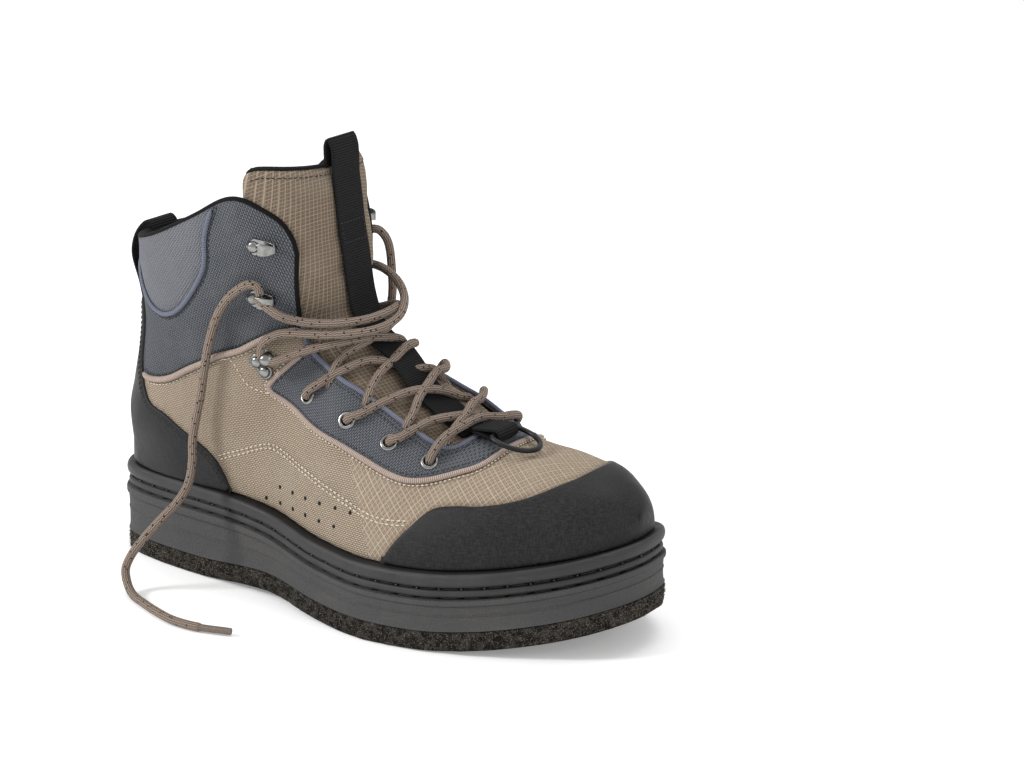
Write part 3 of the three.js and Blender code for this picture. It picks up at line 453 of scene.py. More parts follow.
class SideLine:
    """A smooth line of the side view that measures how far points lie to its left."""

    def __init__(self, points: Array, closed: bool = False) -> None:
        """Keeps the line.

        Args:
            points: The line's points as x and z.
            closed: Whether it is a closed outline, measured as positive inside.
        """
        self.points = np.vstack([points, points[:1]]) if closed else points
        self.closed = closed

    def __call__(self, points: Array) -> Array:
        """The signed distance of each point, across the boot's side view.

        Args:
            points: Points of the boot.

        Returns:
            How far each lies to the line's left, or inside an outline.
        """
        out = np.empty(len(points))
        for start in range(0, len(points), 8000):
            out[start : start + 8000] = self.measure(points[start : start + 8000])
        return out

    def measure(self, points: Array) -> Array:
        """The signed distance of a batch of points.

        Args:
            points: Points of the boot.

        Returns:
            Their signed distances.
        """
        at = points[:, None, [0, 2]]
        a, b = self.points[:-1][None], self.points[1:][None]
        run = b - a
        rel = at - a
        share = np.clip((rel * run).sum(-1) / np.maximum((run * run).sum(-1), 1e-9), 0, 1)
        gap = np.linalg.norm(rel - share[..., None] * run, axis=-1)
        nearest = gap.argmin(1)
        rows = np.arange(len(points))
        if self.closed:
            x, z = points[:, 0:1], points[:, 2:3]
            ax, az, bx, bz = a[0, :, 0], a[0, :, 1], b[0, :, 0], b[0, :, 1]
            spans = (az > z) != (bz > z)
            slope = np.where(bz == az, 1e-9, bz - az)
            inside = (spans & (x < (bx - ax) * (z - az) / slope + ax)).sum(1) % 2
            sign = np.where(inside > 0, 1.0, -1.0)
        else:
            ahead, aside = run[0, nearest].T
            turn = ahead * rel[rows, nearest, 1] - aside * rel[rows, nearest, 0]
            sign = np.where(turn > 0, 1.0, -1.0)
        return sign * gap[rows, nearest]


@dataclass
class Patch:
    """A piece of a surface: points, outward directions and triangles."""

    points: Array
    outward: Array
    faces: Array
    pinned: Array | None = None

    def __post_init__(self) -> None:
        """Starts with every point free to move onto a cut."""
        if self.pinned is None:
            self.pinned = np.zeros(len(self.points), bool)

    def cut(self, measure: Measure, levels: Sequence[float] = (0.0,)) -> "Patch":
        """Adds edges that run along each level of a measure.

        Args:
            measure: Gives a number for each point.
            levels: The numbers that get an edge.

        Returns:
            The patch with the edges.
        """
        patch = self
        for level in levels:
            patch = patch.cut_once(measure(patch.points) - level)
        return patch

    def cut_once(self, values: Array) -> "Patch":
        """Adds edges along the zero line of a value at each point.

        Args:
            values: One value for each point.

        Returns:
            The patch with its triangles split along the line.
        """
        points, outward, values = self.points.copy(), self.outward.copy(), values.copy()
        pinned = self.pinned.copy()
        corners = self.faces[:, [0, 1, 1, 2, 2, 0]].reshape(-1, 2)
        edges, of_face = np.unique(np.sort(corners, 1), axis=0, return_inverse=True)
        of_face = of_face.reshape(-1, 3)
        a, b = edges.T
        snap = 0.2
        for near, far in ((a, b), (b, a)):
            share = values[near] / np.where(values[near] == values[far], 1, values[near] - values[far])
            close = (values[near] * values[far] < 0) & (share < snap) & ~pinned[near]
            movers, first = np.unique(near[close], return_index=True)
            step = share[close][first][:, None]
            points[movers] += step * (points[far[close][first]] - points[movers])
            values[movers] = 0
            pinned[movers] = True
        crossing = values[a] * values[b] < 0
        ca, cb = a[crossing], b[crossing]
        share = (values[ca] / (values[ca] - values[cb]))[:, None]
        fresh = np.full(len(edges), -1)
        fresh[crossing] = len(points) + np.arange(len(ca))
        points = np.vstack([points, points[ca] + share * (points[cb] - points[ca])])
        outward = np.vstack([outward, normalised(outward[ca] + share * (outward[cb] - outward[ca]))])
        split = fresh[of_face]
        count = (split >= 0).sum(1)
        parts = [self.faces[count == 0]]
        for wanted in (1, 2):
            chosen = count == wanted
            f, s = self.faces[chosen], split[chosen]
            e = (s >= 0).argmax(1) if wanted == 1 else (s < 0).argmax(1)
            rows = np.arange(len(f))
            v0, v1, v2 = f[rows, e], f[rows, (e + 1) % 3], f[rows, (e + 2) % 3]
            if wanted == 1:
                p = s[rows, e]
                parts += [np.stack([v2, v0, p], 1), np.stack([v2, p, v1], 1)]
            else:
                p, q = s[rows, (e + 1) % 3], s[rows, (e + 2) % 3]
                parts += [np.stack([v2, q, p], 1), np.stack([v0, v1, p], 1), np.stack([v0, p, q], 1)]
        return Patch(points, outward, np.vstack(parts), np.concatenate([pinned, np.ones(len(ca), bool)]))

    def middle(self) -> Array:
        """The middle of each triangle."""
        return self.points[self.faces].mean(1)

    def kept(self, faces: Array) -> "Patch":
        """Only some of the triangles, with the points that they use."""
        used, inverse = np.unique(self.faces[faces], return_inverse=True)
        return Patch(self.points[used], self.outward[used], inverse.reshape(-1, 3), self.pinned[used])

    def trimmed(self, measure: Measure, level: float = 0.0) -> "Patch":
        """The part where a measure is above a level, with its edge cut exactly."""
        patch = self.cut(measure, (level,))
        return patch.kept(measure(patch.middle()) > level)


def open_edges(patch: Patch) -> Array:
    """The edges that only one triangle uses, as pairs of point numbers."""
    count = len(patch.points)
    runs = patch.faces[:, [0, 1, 1, 2, 2, 0]].reshape(-1, 2).astype(np.int64)
    return runs[~np.isin(runs[:, 0] * count + runs[:, 1], runs[:, 1] * count + runs[:, 0])]


def wall_of(patch: Patch, outer: Array | float, inner: Array | float) -> tuple[Array, Array]:
    """The closed wall between two offsets of a patch.

    Args:
        patch: The surface.
        outer: Offset of the outer face along the outward direction.
        inner: Offset of the inner face.

    Returns:
        The outer points and then the inner ones; the outer triangles, the inner ones and the walls.
    """
    count = len(patch.points)
    lift, sink = (np.broadcast_to(np.asarray(offset, float), (count,))[:, None] for offset in (outer, inner))
    points = np.vstack([patch.points + patch.outward * lift, patch.points + patch.outward * sink])
    a, b = open_edges(patch).T
    walls = [np.stack([b, a, a + count], 1), np.stack([b, a + count, b + count], 1)]
    return points, np.vstack([patch.faces, patch.faces[:, ::-1] + count, *walls])


def split_quads(a: Array, b: Array, c: Array, d: Array) -> Array:
    """Quads as triangles: first each quad's a, b and c, then each quad's a, c and d."""
    return np.vstack([np.stack([a, b, c], -1).reshape(-1, 3), np.stack([a, c, d], -1).reshape(-1, 3)])


def grid_quads(rows: int, size: int, closed: bool) -> tuple[Array, Array, Array, Array]:
    """The quads between rows of points that are loops.

    Args:
        rows: The number of rows.
        size: The number of points in each row.
        closed: Whether the last row joins the first.

    Returns:
        Each quad's own point, the one ahead of it, the one past that and the one beside it.
    """
    i, j = np.meshgrid(np.arange(rows if closed else rows - 1), np.arange(size), indexing="ij")
    ahead, beside = (i + 1) % rows * size, (j + 1) % size
    return i * size + j, ahead + j, ahead + beside, i * size + beside


@dataclass(frozen=True)
class FormGrid:
    """Rings of the form from the toe, round the ankle's bend and up the shaft, as a fine patch."""

    foot_rings: int = 92
    bend_rings: int = 118
    shaft_rings: int = 32
    around: int = 168
    bend_x: float = 0.5157 * SOLE_LENGTH
    bend_z: float = 0.827 * COLLAR_HEIGHT
    bend_radius: float = 0.433 * COLLAR_HEIGHT
    top: float = 1.13 * COLLAR_HEIGHT

    def frames(self) -> tuple[Array, Array]:
        """The middle of each ring and the direction in which its angle starts."""
        origins, ups = [], []
        toe = SOLE_LENGTH - FORM.welt_ledge
        for i in range(self.foot_rings):
            t = (i + 0.05) / self.foot_rings
            x = toe + (self.bend_x - toe) * (t + 1 - math.cos(math.pi / 2 * t)) / 2
            share = np.array(x / SOLE_LENGTH)
            middle = float(FORM.feather(share) + FORM.tables["ridge"](share)) / 2 - 2
            origins.append((x, 0, middle))
            ups.append((0, 0, 1))
        for i in range(self.bend_rings):
            turn = math.pi / 2 * i / (self.bend_rings - 1)
            up = (math.sin(turn), 0, math.cos(turn))
            origins.append((self.bend_x - up[0] * self.bend_radius, 0, self.bend_z - up[2] * self.bend_radius))
            ups.append(up)
        for i in range(1, self.shaft_rings + 1):
            z = self.bend_z + (self.top - self.bend_z) * i / self.shaft_rings
            origins.append((self.bend_x - self.bend_radius, 0, z))
            ups.append((1, 0, 0))
        return np.array(origins, float), np.array(ups, float)

    def build(self) -> Patch:
        """The rings' surface points, joined up."""
        origins, ups = self.frames()
        turns = 2 * np.pi * (np.arange(self.around) + 0.5) / self.around
        rays = ups[:, None] * np.cos(turns)[None, :, None]
        rays[..., 1] += np.sin(turns)
        starts = np.repeat(origins[:, None], self.around, 1)
        grid = FORM.reach(starts.reshape(-1, 3), rays.reshape(-1, 3))
        ring = np.arange(self.around)
        tip = np.stack([np.full(self.around, len(grid)), ring, np.roll(ring, -1)], 1)
        faces = np.vstack([split_quads(*grid_quads(len(origins), self.around, False)), tip])
        points = np.vstack([grid, [[SOLE_LENGTH - FORM.welt_ledge, 0, origins[0, 2]]]])
        return Patch(points, FORM.outward(points), faces)


def closed_outline(rows: Sequence[SideRow], *corners: tuple[float, float]) -> SideLine:
    """A closed side view outline: a smooth line and then straight corners."""
    return SideLine(np.vstack([side_points(rows), np.array(corners, float)]), closed=True)


def feather_measure(points: Array) -> Array:
    """How far each point lies above the upper's lower edge."""
    return points[:, 2] - FORM.feather(np.clip(points[:, 0] / SOLE_LENGTH, 0, 1))


FAR_TOP = 1.3 * COLLAR_HEIGHT
UNDER = 20.0
COLLAR = SideLine(np.vstack([side_points(COLLAR_LINE), [[1.3 * SOLE_LENGTH, 0.868 * COLLAR_HEIGHT]]]))
THROAT = closed_outline(THROAT_LINE, (0.692 * SOLE_LENGTH, FAR_TOP), (0.413 * SOLE_LENGTH, FAR_TOP))
EYESTAY = closed_outline(
    EYESTAY_LINE, (0.752 * SOLE_LENGTH, FAR_TOP), (0.47 * SOLE_LENGTH, FAR_TOP),
    (0.432 * SOLE_LENGTH, 1.1 * INSTEP_HEIGHT))
TOE_CAP = closed_outline(
    TOE_CAP_LINE, (1.1 * SOLE_LENGTH, 0.85 * INSTEP_HEIGHT), (1.1 * SOLE_LENGTH, UNDER),
    (0.6 * SOLE_LENGTH, UNDER))
COUNTER = closed_outline(
    COUNTER_LINE, (0.31 * SOLE_LENGTH, UNDER), (-0.1 * SOLE_LENGTH, UNDER),
    (-0.1 * SOLE_LENGTH, 0.66 * COLLAR_HEIGHT))
ANKLE = SideLine(side_points(ANKLE_LINE))
COLLAR_PAD = SideLine(spline((
    (93, 218), (89, 203), (82.5, 186), (80.5, 169), (72, 155.5), (59, 142), (47, 137), (36, 139.5), (27, 148),
    (19, 159), (-20, 172)), 8))


def collar_depth(points: Array) -> Array:
    """How far each point lies below the collar's edge, which stands higher on the medial flap."""
    x, y, _ = points.T
    raised = 8.5 * np.exp(-(((x - 106) / 17) ** 2)) * np.clip((y - 5) / 20, 0, 1)
    return -COLLAR(points - raised[:, None] * [0, 0, 1])


def upper_edge(points: Array) -> Array:
    """How far each point lies inside the upper's own edges: feather, collar and throat."""
    return np.minimum(np.minimum(feather_measure(points), collar_depth(points)), -THROAT(points))


def bound_depth(points: Array) -> Array:
    """How far each point lies inside the bound edge: the collar and the flap's front."""
    return np.minimum(collar_depth(points), np.maximum(146 - points[:, 2], 0) - THROAT(points))


def soft_step(value: Array, low: float, high: float) -> Array:
    """A smooth step from 0 at low to 1 at high."""
    t = np.clip((value - low) / (high - low), 0, 1)
    return t * t * (3 - 2 * t)


def rounded(depth: Array, radius: float) -> Array:
    """A quarter circle's rise from 0 at the edge to 1 at a radius inside."""
    t = np.clip(depth / radius, 0, 1)
    return np.sqrt(1 - (1 - t) ** 2)


def linked(thing: bpy.types.Object) -> bpy.types.Object:
    """Puts an object into the scene."""
    bpy.context.scene.collection.objects.link(thing)
    return thing


def on_both(values: Array) -> Array:
    """What a patch has at each point, for the outer and the inner points of its wall."""
    return np.concatenate([values, values])


def build_object(name: str, points: Array, faces: Array, materials: Sequence[bpy.types.Material],
                 zone: Array | None = None, cloth: Array | None = None, sharp: float = 40.0,
                 values: dict[str, Array] | None = None) -> bpy.types.Object:
    """Makes a mesh object from layout points.

    Args:
        name: The piece's name.
        points: Points in layout millimetres.
        faces: Triangles as point numbers.
        materials: The piece's materials.
        zone: Material number of each face.
        cloth: UV place of each face corner, in millimetres, in face order.
        sharp: Edges that turn by more than this many degrees stay crisp.
        values: Named numbers, one for each point.

    Returns:
        The object, at the origin.
    """
    mesh = bpy.data.meshes.new(name)
    faces = np.asarray(faces, np.int32)
    mesh.vertices.add(len(points))
    mesh.vertices.foreach_set("co", to_frame(points).astype(np.float32).ravel())
    mesh.loops.add(faces.size)
    mesh.loops.foreach_set("vertex_index", faces.ravel())
    mesh.polygons.add(len(faces))
    mesh.polygons.foreach_set("loop_start", np.arange(0, faces.size, 3, dtype=np.int32))
    for material in materials:
        mesh.materials.append(material)
    if zone is not None:
        mesh.polygons.foreach_set("material_index", np.asarray(zone, np.int32))
    if cloth is not None:
        layer = mesh.uv_layers.new(name="cloth")
        layer.uv.foreach_set("vector", np.asarray(cloth, np.float32).ravel())
    for key, numbers in (values or {}).items():
        attribute = mesh.attributes.new(key, "FLOAT", "POINT")
        attribute.data.foreach_set("value", np.asarray(numbers, np.float32))
    mesh.update(calc_edges=True)
    mesh.validate()
    mesh.shade_smooth()
    mesh.set_sharp_from_angle(angle=math.radians(sharp))
    return linked(bpy.data.objects.new(name, mesh))


def settle(piece: bpy.types.Object, slot: str, *nodes: str, body: str = BOOT) -> bpy.types.Object:
    """Gives a piece its body and hides the CAD nodes that it stands for.

    Args:
        piece: The finished piece.
        slot: Its material slot; not used.
        nodes: The CAD nodes.
        body: The body that it rides on.

    Returns:
        The piece.
    """
    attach(piece, body)
    if nodes:
        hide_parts(*nodes)
    log.info("%s: %d faces", piece.name, len(piece.data.polygons))
    return piece


def sweep(path: Array, section: Array, normals: Array | None = None, closed: bool = False,
          scale: Array | None = None) -> tuple[Array, Array, Array]:
    """A section carried along a path.

    Args:
        path: The path's points.
        section: The section's points as (across, out).
        normals: The out direction at each path point, or None for a frame that never twists.
        closed: Whether the path is a loop.
        scale: The section's size at each path point.

    Returns:
        Points, triangles and the UV place of each triangle corner: along, then round the section.
    """
    count, size = len(path), len(section)
    tangents = normalised(np.roll(path, -1, 0) - np.roll(path, 1, 0) if closed else np.gradient(path, axis=0))
    if normals is None:
        out = np.zeros_like(path)
        seed = np.array([0.0, 0.0, 1.0]) if abs(tangents[0, 2]) < 0.9 else np.array([1.0, 0.0, 0.0])
        out[0] = normalised(seed - tangents[0] * (seed @ tangents[0]))
        for i in range(1, count):
            out[i] = normalised(out[i - 1] - tangents[i] * (out[i - 1] @ tangents[i]))
    else:
        out = normalised(normals - tangents * (normals * tangents).sum(1, keepdims=True))
    across = np.cross(tangents, out)
    sizes = np.ones(count) if scale is None else scale
    spread = across[:, None] * section[None, :, :1] + out[:, None] * section[None, :, 1:]
    points = (path[:, None] + sizes[:, None, None] * spread).reshape(-1, 3)
    steps = np.linalg.norm(np.diff(path, axis=0), axis=1)
    along = np.concatenate([[0], np.cumsum(steps), [steps.sum() + np.linalg.norm(path[0] - path[-1])]])
    rim = np.concatenate([[0], np.cumsum(np.linalg.norm(np.roll(section, -1, 0) - section, axis=1))])
    i, j = np.meshgrid(np.arange(count if closed else count - 1), np.arange(size), indexing="ij")
    a, b, c, d = (np.stack([along[i + n], rim[j + m]], -1) for n, m in ((0, 0), (1, 0), (1, 1), (0, 1)))
    cloth = np.vstack([np.stack(corners, 2).reshape(-1, 3, 2) for corners in ((a, b, c), (a, c, d))])
    faces = split_quads(*grid_quads(count, size, closed))
    if not closed:
        ends = []
        for row, flip in ((0, False), (count - 1, True)):
            points = np.vstack([points, points[row * size : (row + 1) * size].mean(0)])
            ring = row * size + np.arange(size)
            following = np.roll(ring, -1)
            tip = np.full(size, len(points) - 1)
            ends.append(np.stack([tip, following, ring] if flip else [tip, ring, following], 1))
            cloth = np.vstack([cloth, np.full((size, 3, 2), along[row])])
        faces = np.vstack([faces, *ends])
    turned = outward_faces(points, faces)
    return points, turned, cloth if turned is faces else cloth[:, ::-1]


def side_sweep(line: Array, middle: float, section: Array, scale: Array | None = None) -> tuple[Array, ...]:
    """A section carried along a side view line, its width across the boot.

    Args:
        line: The line as x and z.
        middle: The y of its plane.
        section: The section's points as (across, out).
        scale: The section's size at each point of the line.

    Returns:
        Points, triangles and the UV place of each triangle corner.
    """
    path = np.stack([line[:, 0], np.full(len(line), middle), line[:, 1]], -1)
    run = normalised(np.gradient(path, axis=0))
    return sweep(path, section, np.stack([-run[:, 2], np.zeros(len(run)), run[:, 0]], -1), scale=scale)


def outward_faces(points: Array, faces: Array) -> Array:
    """The triangles, turned round if they enclose a negative volume."""
    a, b, c = points[faces[:, 0]], points[faces[:, 1]], points[faces[:, 2]]
    return faces if (a * np.cross(b, c)).sum() > 0 else faces[:, ::-1]


def ring_section(width: float, height: float, sides: int = 14) -> Array:
    """An oval section."""
    turns = 2 * np.pi * np.arange(sides) / sides
    return np.stack([np.cos(turns) * width / 2, np.sin(turns) * height / 2], -1)


def slab_section(width: float, height: float, corner: float, across: int) -> Array:
    """A flat section with rounded corners.

    Args:
        width: Its width.
        height: Its thickness.
        corner: The radius of its corners.
        across: The number of stretches of its long faces.

    Returns:
        Its points, in order round it.
    """
    steps = np.linspace(-1, 1, across + 1)[1:-1] * (width / 2 - corner)
    bend = np.linspace(0, np.pi / 2, 4)
    out = []
    for quarter, (sx, sz) in enumerate(((1, 1), (-1, 1), (-1, -1), (1, -1))):
        turn = bend + quarter * np.pi / 2
        centre = np.array([sx * (width / 2 - corner), sz * (height / 2 - corner)])
        out.append(centre + corner * np.stack([np.cos(turn), np.sin(turn)], -1))
        if quarter % 2 == 0:
            out.append(np.stack([-sz * steps, np.full(len(steps), sz * height / 2)], -1))
    return np.vstack(out)


def lathe(profile: Array, sides: int) -> tuple[Array, Array]:
    """A closed profile of (radius, height) turned about z, as points and triangles."""
    turns = 2 * np.pi * np.arange(sides)[:, None] / sides
    radius, height = profile.T
    round_x, round_y = radius * np.cos(turns), radius * np.sin(turns)
    points = np.stack([round_x, round_y, np.broadcast_to(height, round_x.shape)], -1).reshape(-1, 3)
    return points, outward_faces(points, split_quads(*grid_quads(sides, len(profile), True)))


def merged(*parts: tuple[Array, Array]) -> tuple[Array, Array]:
    """Several solids as one list of points and triangles.

    Args:
        parts: Each solid's points and triangles.

    Returns:
        All points and all triangles.
    """
    points, faces, start = [], [], 0
    for part_points, part_faces in parts:
        points.append(part_points)
        faces.append(part_faces + start)
        start += len(part_points)
    return np.vstack(points), np.vstack(faces)


def tint(code: int) -> tuple[float, float, float, float]:
    """A display colour such as 0x9a8a73 as linear values."""
    parts = [(code >> shift & 255) / 255 for shift in (16, 8, 0)]
    linear = [c / 12.92 if c <= 0.04045 else ((c + 0.055) / 1.055) ** 2.4 for c in parts]
    return (*linear, 1.0)


Socket = bpy.types.NodeSocket
Value = float | bpy.types.NodeSocket
Colour = int | bpy.types.NodeSocket


class NodeTree:
    """A node tree with a short way to add nodes."""

    def __init__(self, tree: bpy.types.NodeTree) -> None:
        """Keeps the tree."""
        self.tree = tree

    def put(self, node: bpy.types.Node, key: str | int, value: object) -> None:
        """Links a socket or sets a value."""
        if isinstance(value, Socket):
            self.tree.links.new(value, node.inputs[key])
        else:
            node.inputs[key].default_value = value

    def add(self, kind: str, inputs: dict[str | int, object] | None = None, **settings: object) -> bpy.types.Node:
        """Adds a node.

        Args:
            kind: Its type.
            inputs: A socket or a value for each of its inputs that is set.
            settings: Its own settings.

        Returns:
            The node.
        """
        node = self.tree.nodes.new(kind)
        for key, value in settings.items():
            setattr(node, key, value)
        for key, value in (inputs or {}).items():
            self.put(node, key, value)
        return node


class Graph(NodeTree):
    """A material's node tree with short ways to add the usual nodes."""

    def __init__(self, name: str, roughness: float, specular: float = 0.5, metallic: float = 0.0) -> None:
        """Starts a material with one principled shader.

        Args:
            name: The material's name.
            roughness: Its roughness.
            specular: Its level of plain reflection.
            metallic: 1 for a metal.
        """
        self.material = bpy.data.materials.new(name)
        self.material.use_nodes = True
        super().__init__(self.material.node_tree)
        self.shader = self.tree.nodes["Principled BSDF"]
        self.dress({"Roughness": roughness, "Specular IOR Level": specular, "Metallic": metallic})

    def dress(self, inputs: dict[str, object]) -> None:
        """Sets or links inputs of the shader."""
        for key, value in inputs.items():
            self.put(self.shader, key, value)

    def math(self, operation: str, a: Value, b: Value = 0.0, c: Value = 0.0) -> Socket:
        """A number worked out from up to three others."""
        return self.add("ShaderNodeMath", {0: a, 1: b, 2: c}, operation=operation).outputs[0]

    def mapped(self, source: Socket, scale: Point, turn: float) -> Socket:
        """A place, scaled and turned about z."""
        inputs = {"Vector": source, "Scale": scale, "Rotation": (0, 0, math.radians(turn))}
        return self.add("ShaderNodeMapping", inputs).outputs[0]

    def on_cloth(self, scale: Point = (1, 1, 1), turn: float = 0.0) -> Socket:
        """The place on the piece's own cloth, in millimetres."""
        return self.mapped(self.add("ShaderNodeUVMap", uv_map="cloth").outputs[0], scale, turn)

    def in_space(self, scale: Point = (1, 1, 1), turn: float = 0.0) -> Socket:
        """The place on the object, in metres."""
        return self.mapped(self.add("ShaderNodeTexCoord").outputs["Object"], scale, turn)

    def noise(self, place: Socket, scale: float, detail: float = 2.0, roughness: float = 0.5) -> Socket:
        """Noise between 0 and 1."""
        inputs = {"Vector": place, "Scale": scale, "Detail": detail, "Roughness": roughness}
        return self.add("ShaderNodeTexNoise", inputs).outputs[0]

    def spread(self, value: Value, low: float, high: float, to_low: float = 0, to_high: float = 1) -> Socket:
        """A value carried from one range to another and held inside it."""
        inputs = {"Value": value, "From Min": low, "From Max": high, "To Min": to_low, "To Max": to_high}
        return self.add("ShaderNodeMapRange", inputs, interpolation_type="SMOOTHSTEP").outputs[0]

    def blend(self, share: Value, low: Colour, high: Colour, kind: str = "MIX") -> Socket:
        """A colour between two others.

        Args:
            share: How far it is from low to high.
            low: The first colour, as a socket or a display colour.
            high: The second one.
            kind: How they are mixed.

        Returns:
            The colour.
        """
        low, high = (tint(value) if isinstance(value, int) else value for value in (low, high))
        inputs = {0: share, 6: low, 7: high}
        return self.add("ShaderNodeMix", inputs, data_type="RGBA", blend_type=kind).outputs[2]

    def over(self, base: Colour, colour: Colour, value: Value, low: float, high: float, most: float = 1) -> Socket:
        """A base with a colour laid over it.

        Args:
            base: The colour below.
            colour: The colour laid over it.
            value: What the cover follows.
            low: The value where the cover starts.
            high: The value where it is fullest.
            most: The share of the colour there.

        Returns:
            The mixed colour.
        """
        return self.blend(self.spread(value, low, high, 0, most), base, colour)

    def parts(self, place: Socket) -> tuple[Socket, Socket, Socket]:
        """The three numbers of a vector."""
        return tuple(self.add("ShaderNodeSeparateXYZ", {0: place}).outputs)

    def wave(self, value: Socket, pitch: float, shift: Value = 0.0) -> Socket:
        """A round wave between 0 and 1 that repeats at a pitch."""
        turn = self.math("MULTIPLY_ADD", value, 2 * math.pi / pitch, shift)
        return self.math("MULTIPLY_ADD", self.math("SINE", turn), 0.5, 0.5)

    def bump(self, height: Socket, depth: float, below: Socket | None = None) -> Socket:
        """A bump of a depth in millimetres, on top of another where it has one."""
        inputs = {"Strength": 1.0, "Distance": depth * MM, "Height": height}
        return self.add("ShaderNodeBump", inputs if below is None else {**inputs, "Normal": below}).outputs[0]

    def attribute(self, name: str) -> Socket:
        """A number stored with the mesh."""
        return self.add("ShaderNodeAttribute", attribute_name=name).outputs["Fac"]

    def done(self, colour: Socket | Sequence[float], normal: Socket | None = None) -> bpy.types.Material:
        """Finishes the material."""
        self.dress({"Base Color": colour} if normal is None else {"Base Color": colour, "Normal": normal})
        return self.material


class Weave(Enum):
    """How a cloth is woven."""

    PEBBLE = "pebble"
    RIPSTOP = "ripstop"
    RIBBED = "ribbed"
    KNIT = "knit"


@dataclass(frozen=True)
class Cloth:
    """A woven or knitted textile laid out by its own cloth map."""

    name: str
    colour: int
    deep: int
    weave: Weave
    pitch: float = 1.1
    relief: float = 0.22
    turn: float = 0.0
    roughness: float = 0.88
    grid: float = 4.6
    dust: int = 0xA79E90
    grid_colour: int = 0xC4B7A5

    def height(self, graph: Graph) -> tuple[Socket, Value]:
        """The weave.

        Args:
            graph: The material that gets it.

        Returns:
            Its height, and the mask of its reinforcing grid.
        """
        place = graph.on_cloth(turn=self.turn)
        u, v, _ = graph.parts(place)
        if self.weave is Weave.PEBBLE:
            inputs = {"Vector": place, "Scale": 1.0, "Mortar Size": 0.42 * self.pitch, "Mortar Smooth": 1.0,
                      "Brick Width": 1.9 * self.pitch, "Row Height": self.pitch}
            mortar = graph.add("ShaderNodeTexBrick", inputs, offset=0.5).outputs["Fac"]
            return graph.math("SUBTRACT", 1.0, mortar), 0.0
        if self.weave is Weave.RIPSTOP:
            plain = graph.math("MULTIPLY", graph.wave(u, self.pitch), graph.wave(v, self.pitch, 1.57))
            lines = [graph.spread(graph.wave(w, self.grid), 0.84, 0.97) for w in (u, v)]
            grid = graph.math("MAXIMUM", *lines)
            return graph.math("MULTIPLY_ADD", grid, 1.1, plain), grid
        if self.weave is Weave.RIBBED:
            breaks = graph.math("MULTIPLY_ADD", graph.wave(v, 0.6 * self.pitch), 0.35, 0.65)
            return graph.math("MULTIPLY", graph.wave(u, self.pitch), breaks), 0.0
        inputs = {"Vector": place, "Scale": 1.0 / self.pitch, "Randomness": 0.35}
        cells = graph.add("ShaderNodeTexVoronoi", inputs).outputs["Distance"]
        return graph.spread(cells, 0.1, 0.6), 0.0

    def build(self) -> bpy.types.Material:
        """The cloth's material."""
        graph = Graph(self.name, self.roughness, 0.2)
        height, grid = self.height(graph)
        place = graph.in_space()
        yarn = graph.noise(place, 1300)
        base = graph.over(self.deep, self.colour, height, 0.0, 0.75)
        base = graph.over(base, self.deep, yarn, 0.38, 0.7, 0.3)
        base = graph.over(base, self.dust, graph.noise(place, 55, 3), 0.45, 0.8, 0.16)
        if self.weave is Weave.RIPSTOP:
            base = graph.blend(graph.math("MULTIPLY", grid, 0.2), base, self.grid_colour)
        # Painted shade with some dirt: the cloth is darker towards seams and edges, where panels meet.
        seam = graph.spread(graph.attribute("seam"), 0.0, 3.2, 0.34, 0.0)
        base = graph.blend(seam, base, self.deep, "MULTIPLY")
        soft = graph.bump(graph.noise(place, 90), 0.5)
        return graph.done(base, graph.bump(graph.math("MULTIPLY_ADD", yarn, 0.25, height), self.relief, soft))


@dataclass(frozen=True)
class Overlay:
    """Smooth coated synthetic with a fine brushed grain."""

    name: str
    colour: int
    worn: int
    roughness: float = 0.5
    grain: float = 0.06

    def build(self) -> bpy.types.Material:
        """The overlay's material."""
        graph = Graph(self.name, self.roughness, 0.2)
        place = graph.in_space()
        brushed = graph.math("ADD", *(graph.noise(graph.in_space(scale), 1.0, 3) for scale in (
            (180, 900, 2200), (2200, 900, 240))))
        patchy = graph.noise(place, 45, 3)
        base = graph.over(self.colour, self.worn, brushed, 0.85, 1.2, 0.7)
        edge = graph.spread(graph.attribute("seam"), 0.0, 1.4, 0.6, 0.0)
        base = graph.blend(graph.math("MULTIPLY", edge, graph.spread(patchy, 0.3, 0.7)), base, self.worn)
        rough = graph.spread(graph.math("ADD", brushed, patchy), 1.2, 1.8, self.roughness - 0.06,
                             self.roughness + 0.14)
        graph.dress({"Roughness": rough, "Coat Weight": 0.02, "Coat Roughness": 0.4})
        soft = graph.bump(graph.noise(place, 130), 0.25)
        return graph.done(base, graph.bump(brushed, self.grain, soft))


@dataclass(frozen=True)
class Rubber:
    """Moulded rubber with a fine matt grain, patchy dust, and painted shade with dirt in its hollows."""

    name: str
    colour: int
    dust: int
    grain: float = 0.12
    roughness: float = 0.66
    # Colour of the painted shade, with dirt, in the hollows and grooves.
    hollow_shade: int = 0x0C0C0C

    def build(self) -> bpy.types.Material:
        """The rubber's material."""
        graph = Graph(self.name, self.roughness, 0.24)
        place = graph.in_space()
        cells = graph.add("ShaderNodeTexVoronoi", {"Vector": place, "Scale": 900}).outputs["Distance"]
        patchy = graph.noise(place, 28, 4, 0.62)
        scuffs = graph.noise(graph.in_space((60, 60, 900)), 1.0, 3)
        base = graph.over(self.colour, self.dust, patchy, 0.4, 0.75, 0.5)
        base = graph.over(base, self.dust, scuffs, 0.58, 0.72, 0.3)
        # Painted shade and dirt: darker where the seam value is low, in grooves, under lips and at lower edges.
        base = graph.blend(graph.spread(graph.attribute("seam"), 0.0, 1.2, 0.75, 0.0), base, self.hollow_shade)
        graph.dress({"Roughness": graph.spread(patchy, 0.3, 0.7, self.roughness - 0.08, self.roughness + 0.14)})
        height = graph.math("MULTIPLY_ADD", graph.noise(place, 1500, 3), 0.6, cells)
        return graph.done(base, graph.bump(height, self.grain, graph.bump(graph.noise(place, 70), 0.25)))


